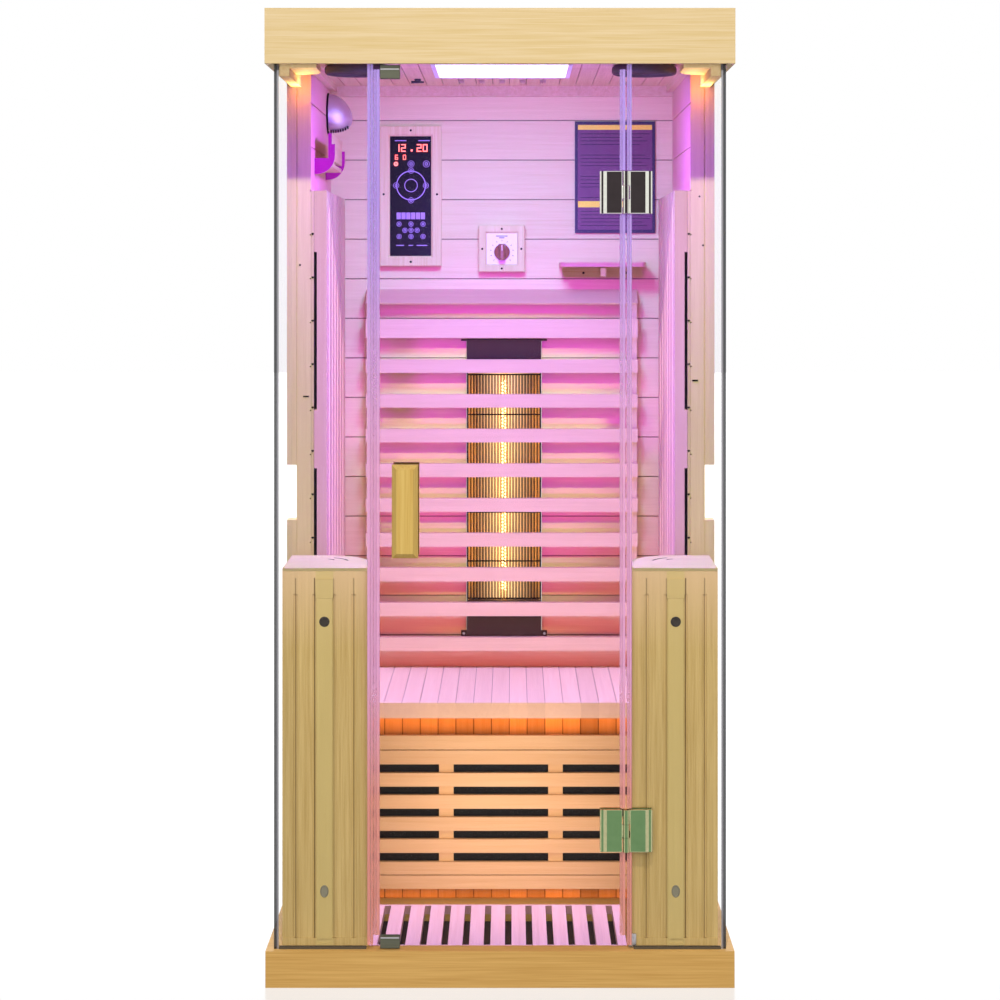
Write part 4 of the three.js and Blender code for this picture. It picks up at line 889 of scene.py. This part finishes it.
# The notice board: a thin printed panel, violet with a darker border, two plain amber bands and ruled lines.
# It carries no words.
BOARD_FACE = 834
board_print, tree, shader = surface("violet_printed_panel", Roughness=0.45)
place = node(tree, "TexCoord").outputs["Object"]
split = node(tree, "SeparateXYZ", {"Vector": place})
from_middle_x = node(tree, "Math", {0: split.outputs["X"], 1: 0.2555, 2: 0.084}, operation="COMPARE")
from_middle_z = node(tree, "Math", {0: split.outputs["Z"], 1: 1.585, 2: 0.1185}, operation="COMPARE")
inside = node(tree, "Math", {0: from_middle_x.outputs[0], 1: from_middle_z.outputs[0]},
              operation="MULTIPLY")
ink = node(tree, "TexNoise", {"Vector": place, "Scale": 1000 / 18, "Detail": 3.0})
ground = node(tree, "Mix", {
    "Factor": ink.outputs["Fac"], 6: linear("#61375a"), 7: linear("#724268")}, data_type="RGBA")
tint = node(tree, "Mix", {
    "Factor": inside.outputs[0], 6: linear("#2c1f44"), 7: ground.outputs[2]}, data_type="RGBA")
tree.links.new(tint.outputs[2], shader.inputs["Base Color"])
bump = node(tree, "Bump", {"Height": ink.outputs["Fac"], "Strength": 0.2, "Distance": 0.0003})
tree.links.new(bump.outputs["Normal"], shader.inputs["Normal"])
dress(board_print, "notice_board")
bm = bmesh.new()
for low, high in ((1692, 1703), (1517, 1531)):
    block(bm, (172, BOARD_FACE - 0.4, low), (339, BOARD_FACE, high), 0.15)
amber_print = coated("amber_screen_print", "#ffea58", "#f4d844", 6, (0.45, 0.55), 0.02)
add_piece(bm, "notice_bands", "cabin", "board_violet", amber_print)
bm = bmesh.new()
RULED_LEVELS = [1683 - 8 * i for i in range(19) if i % 6 < 4] + [1508 - 8 * i for i in range(5)]
for i, level in enumerate(RULED_LEVELS):
    right = 334 - 23 * ((3 * i) % 5) / 4
    block(bm, (178, BOARD_FACE - 0.3, level - 0.7), (right, BOARD_FACE, level + 0.7), 0.1)
add_piece(bm, "notice_rules", "cabin", "board_violet",
          coated("dark_violet_rules", "#1e1030", "#150a24", 4, (0.45, 0.55), 0.02))


# The wall shelf and the magazine rack: planed hemlock, screwed to the walls.
# The shelf hangs on a batten with dark screws and a small clip block. The faces of the rack that look to the front
# carry painted violet light.
dress(hemlock("hemlock_fittings", "#f0d8b4", "#dfc094", "X"), "wall_shelf")
rack_wood = hemlock("hemlock_rack", "#f0d8b4", "#dfc094", "Y")
tree = rack_wood.node_tree
shader = tree.nodes["Principled BSDF"]
tint = shader.inputs["Base Color"].links[0].from_socket
# Painted violet light on the faces that look to the front.
split = node(tree, "SeparateXYZ", {"Vector": node(tree, "TexCoord").outputs["Normal"]})
front = node(tree, "Math", {0: split.outputs["Y"], 1: -0.6}, operation="LESS_THAN")
painted_violet_light = node(tree, "Mix", {"Factor": front.outputs[0], 6: tint, 7: linear("#b41892")}, data_type="RGBA")
tree.links.new(painted_violet_light.outputs[2], shader.inputs["Base Color"])
dress(rack_wood, "magazine_rack")
bm = bmesh.new()
screw(bm, 184, 822, 1369, 2.6)
screw(bm, 282, 822, 1369, 2.6)
add_piece(bm, "shelf_screws", "cabin", "black_heater", blued_steel)
bm = bmesh.new()
block(bm, (222, 813, 1361), (235, 822, 1381), 2.0)
add_piece(bm, "shelf_clip", "cabin", "pale_wood", frame_wood)


# The wall lamp: a hooded satin metal shade on a dark gasket, with a row of air slots along its lower rim drawn as
# dark blocks of painted shade.
# The shade is spun aluminium, turned and then drawn down so that it throws its light to the seat.
LAMP_WALL = at(-385.7, 739, 1722)
LAMP_RADIUS = 45.5
LAMP_REACH = 55
satin_metal = coated("satin_metal_shade", "#e4dcea", "#cfc4d8", 12, (0.42, 0.52), 0.03, Metallic=0.8)
gasket = coated("dark_rubber_gasket", "#1f141d", "#140c13", 2, (0.6, 0.75), 0.05, Specular_IOR_Level=0.1)
bm = bmesh.new()
turned(bm, [(0, 0), (LAMP_RADIUS, 0), (LAMP_RADIUS, 3), (43, 4), (0, 4)], LAMP_WALL, (1, 0, 0), 48)
add_piece(bm, "wall_lamp_gasket", "cabin", "speaker_black", gasket, smooth_angle=40)
bm = bmesh.new()
hood = [(0, 4)] + [(43.5 * math.cos(math.radians(a)), 4 + (LAMP_REACH - 4) * math.sin(math.radians(a)))
                   for a in range(0, 90, 9)] + [(0, LAMP_REACH)]
turned(bm, hood, LAMP_WALL, (1, 0, 0), 48)
for vert in bm.verts:
    reach = (vert.co.x - LAMP_WALL.x) / (LAMP_REACH / 1000)
    vert.co.z -= 0.011 * reach ** 2
add_piece(bm, "wall_lamp_shade", "cabin", "lamp_dome", satin_metal, replaces=("wall_lamp",), smooth_angle=50)
# The air slots: dark blocks standing for the shade in the openings, painted shade.
bm = bmesh.new()
for i in range(8):
    reach = 9 + 5.2 * i
    radius = 44.5 * math.sqrt(1 - ((reach - 4) / 51) ** 2)
    x = -385.7 + reach
    depth = 739 - 0.42 * radius
    z = 1722 - 0.91 * radius - 11 * (reach / LAMP_REACH) ** 2
    block(bm, (x - 1.5, depth - 5, z - 3.5), (x + 1.5, depth + 4, z + 2.5), 0.6)
add_piece(bm, "wall_lamp_slots", "cabin", "speaker_black", gasket)


# Light: a dim white studio all round with a hard key from high in front, the violet-white ceiling lamp,
# violet panels just inside the front glass, a violet spot from low in front, warm lamps in the front corners,
# an orange glow at the legs, and fills for the outer sides, the back and the roof. Most light only the pieces
# named.
STUDIO = 0.06
world = bpy.data.worlds.new("studio")
world.use_nodes = True
tree = world.node_tree
dim = tree.nodes["Background"]
dim.inputs["Color"].default_value = (1, 1, 1, 1)
dim.inputs["Strength"].default_value = STUDIO
bright = node(tree, "Background", {"Color": (1, 1, 1, 1), "Strength": 1.0})
path = node(tree, "LightPath")
shown = node(tree, "Math", {
    0: path.outputs["Is Camera Ray"], 1: path.outputs["Is Glossy Ray"]}, operation="MAXIMUM")
sky = node(tree, "MixShader", {0: shown.outputs[0], 1: dim.outputs[0], 2: bright.outputs[0]})
tree.links.new(sky.outputs[0], tree.nodes["World Output"].inputs["Surface"])
scene.world = world


def hang(data, place, aim, power, colour, lit):
    data.energy = power
    data.color = linear(colour)[:3]
    lamp = bpy.data.objects.new(data.name, data)
    lamp.location = place
    lamp.rotation_euler = (aim - place).to_track_quat("-Z", "Y").to_euler()
    lamp.visible_camera = False
    scene.collection.objects.link(lamp)
    if lit:
        group = bpy.data.collections.new(data.name + "_lights_these")
        for piece in lit:
            group.objects.link(piece)
        lamp.light_linking.receiver_collection = group


def area_light(name, place, aim, size, power, colour, size_y=None, lit=None):
    data = bpy.data.lights.new(name, "AREA")
    data.shape = "RECTANGLE"
    data.size = size
    data.size_y = size_y or size
    hang(data, place, aim, power, colour, lit)


def square_spot(name, place, aim, angle, size, power, colour, lit=None):
    data = bpy.data.lights.new(name, "SPOT")
    data.use_square = True
    data.spot_size = math.radians(angle)
    data.spot_blend = 0.12
    data.shadow_soft_size = size / 2
    hang(data, place, aim, power, colour, lit)


def pieces(*names):
    return [bpy.data.objects[name] for name in names]


hinges = [f"{level}_hinge_{leaf}_leaf_cast" for level in ("upper", "lower") for leaf in ("door", "pane")]
outside = pieces("roof_front_board", "roof_left_board", "roof_right_board", "base_platform", "left_heater_box",
                 "right_heater_box", "outer_handle", "door_seal", "latch_pane_seal", "hinge_pane_seal",
                 "hinge_door_seal", "top_catch_clip", "top_catch_painted_highlight", "bottom_catch_clip", "bottom_catch_painted_highlight",
                 "pane_clip", "left_box_plug", "right_box_plug", "left_box_bolt", "right_box_bolt",
                 "left_strip_end", "right_strip_end", "left_pane_channel", "right_pane_channel", *hinges)
sides = pieces("left_wall", "right_wall", "left_heater_box_lid", "right_heater_box_lid", "left_side_glass",
               "right_side_glass", "wall_pins", "left_heater_edging", "right_heater_edging")
legs = pieces("kick_grille", "bench_panel", "leg_heater")
rails = pieces("left_top_rail", "right_top_rail")
guards = pieces("left_side_guard", "right_side_guard")
seat = pieces("bench_seat")
behind = pieces("back_wall", "control_frame", "dial_frame")
lamp_lit = behind + pieces("notice_bands", "dial_face")
shelf = pieces("wall_shelf")
inner = [piece for piece in scene.objects
         if piece.type == "MESH" and piece not in outside + sides + guards + rails + legs + seat + lamp_lit + shelf]
lamp_front = at(3, 239, 1769)
area_light("studio_key", at(0, -3000, 3870), at(0, 300, 1000), 0.12, 75, "#fff7e9", lit=outside)
area_light("side_key", at(0, -3000, 3870), at(0, 300, 1000), 0.12, 142, "#f4f8d0", lit=sides)
area_light("guard_key", at(0, -3000, 3870), at(0, 300, 1000), 0.12, 350, "#f8d4f6", lit=guards)
square_spot("wall_key", at(0, -3000, 3350), at(0, 840, 955), 7.8, 0.2, 515, "#d8ff72", lit=pieces("back_wall"))
square_spot("gap_violet", at(0, -3000, 180), at(0, 840, 1020), 10.5, 0.2, 350, "#c400ff",
            lit=pieces("back_wall"))
area_light("studio_fill", at(0, -3600, 1200), at(0, 300, 900), 3.0, 132, "#ffffff", lit=outside + rails)
area_light("ceiling_glow", lamp_front, at(3, 480, 1000), 0.26, 6.75, "#8292ff", 0.30, lit=inner + guards + seat)
area_light("wall_glow", lamp_front, at(3, 410, 1000), 0.26, 17.2, "#62d2ff", 0.30, lit=lamp_lit)
area_light("side_glow", lamp_front, at(3, 480, 1000), 0.26, 26, "#9a40ff", 0.30, lit=sides + rails + shelf)
area_light("seat_glow", lamp_front, at(3, 400, 0), 0.26, 42, "#c0a8ff", 0.30, lit=seat)
area_light("floor_glow", lamp_front, at(3, 400, 0), 0.26, 62.6, "#b99bff", 0.30, lit=pieces("floor_grille"))
area_light("lid_glow", lamp_front, at(3, 200, 700), 0.26, 4.26, "#00ffad", 0.30,
           lit=pieces("left_heater_box_lid", "right_heater_box_lid"))
area_light("high_violet", at(0, 45, 1330), at(0, 800, 1330), 0.44, 7.68, "#9969ff", 0.5, lit=inner)
area_light("low_violet", at(0, 45, 730), at(0, 800, 730), 0.44, 3.39, "#ffdbe2", 0.5, lit=inner)
area_light("wall_violet", at(0, 45, 1450), at(0, 800, 1450), 0.44, 5.0, "#d000ff", 0.45, lit=lamp_lit)
area_light("guard_violet", at(0, 45, 1100), at(0, 800, 1100), 0.6, 10, "#9058ff", 0.9, lit=guards)
area_light("wall_rose", at(0, 300, 500), at(0, 840, 700), 0.44, 1.3, "#ff2044", 0.05, lit=pieces("back_wall"))
area_light("leg_glow", at(0, 90, 300), at(0, 400, 280), 0.46, 1.68, "#ffd7ba", 0.45,
           lit=pieces("kick_grille", "bench_seat"))
area_light("bench_glow", at(0, 110, 290), at(0, 400, 290), 0.44, 3.6, "#ff8e34", 0.4, lit=pieces("bench_panel"))
for side, name in SIDES:
    area_light("corner_lamp", at(side * 403, 262, 1750), at(side * 403, 298, 1742), 0.03, 0.035, "#ff8c08",
               lit=pieces(name + "_wall"))
    area_light("rail_lamp", at(side * 388, 240, 1700), at(side * 414, 225, 1745), 0.03, 0.36, "#ffd488",
               lit=rails)
    area_light("side_fill", at(side * 3600, 600, 1700), at(0, 450, 900), 2.5, 120, "#ffffff",
               lit=pieces(name + "_wall", name + "_heater_box", f"roof_{name}_board", "base_platform"))
area_light("back_fill", at(0, 4200, 1700), at(0, 450, 900), 2.5, 120, "#ffffff",
           lit=pieces("back_wall", "left_wall", "right_wall", "roof_back_board", "base_platform"))
area_light("roof_fill", at(0, 450, 4600), at(0, 450, 1873), 2.5, 90, "#ffffff", lit=pieces("roof_cover"))
bpy.data.objects["studio_fill"].visible_glossy = False
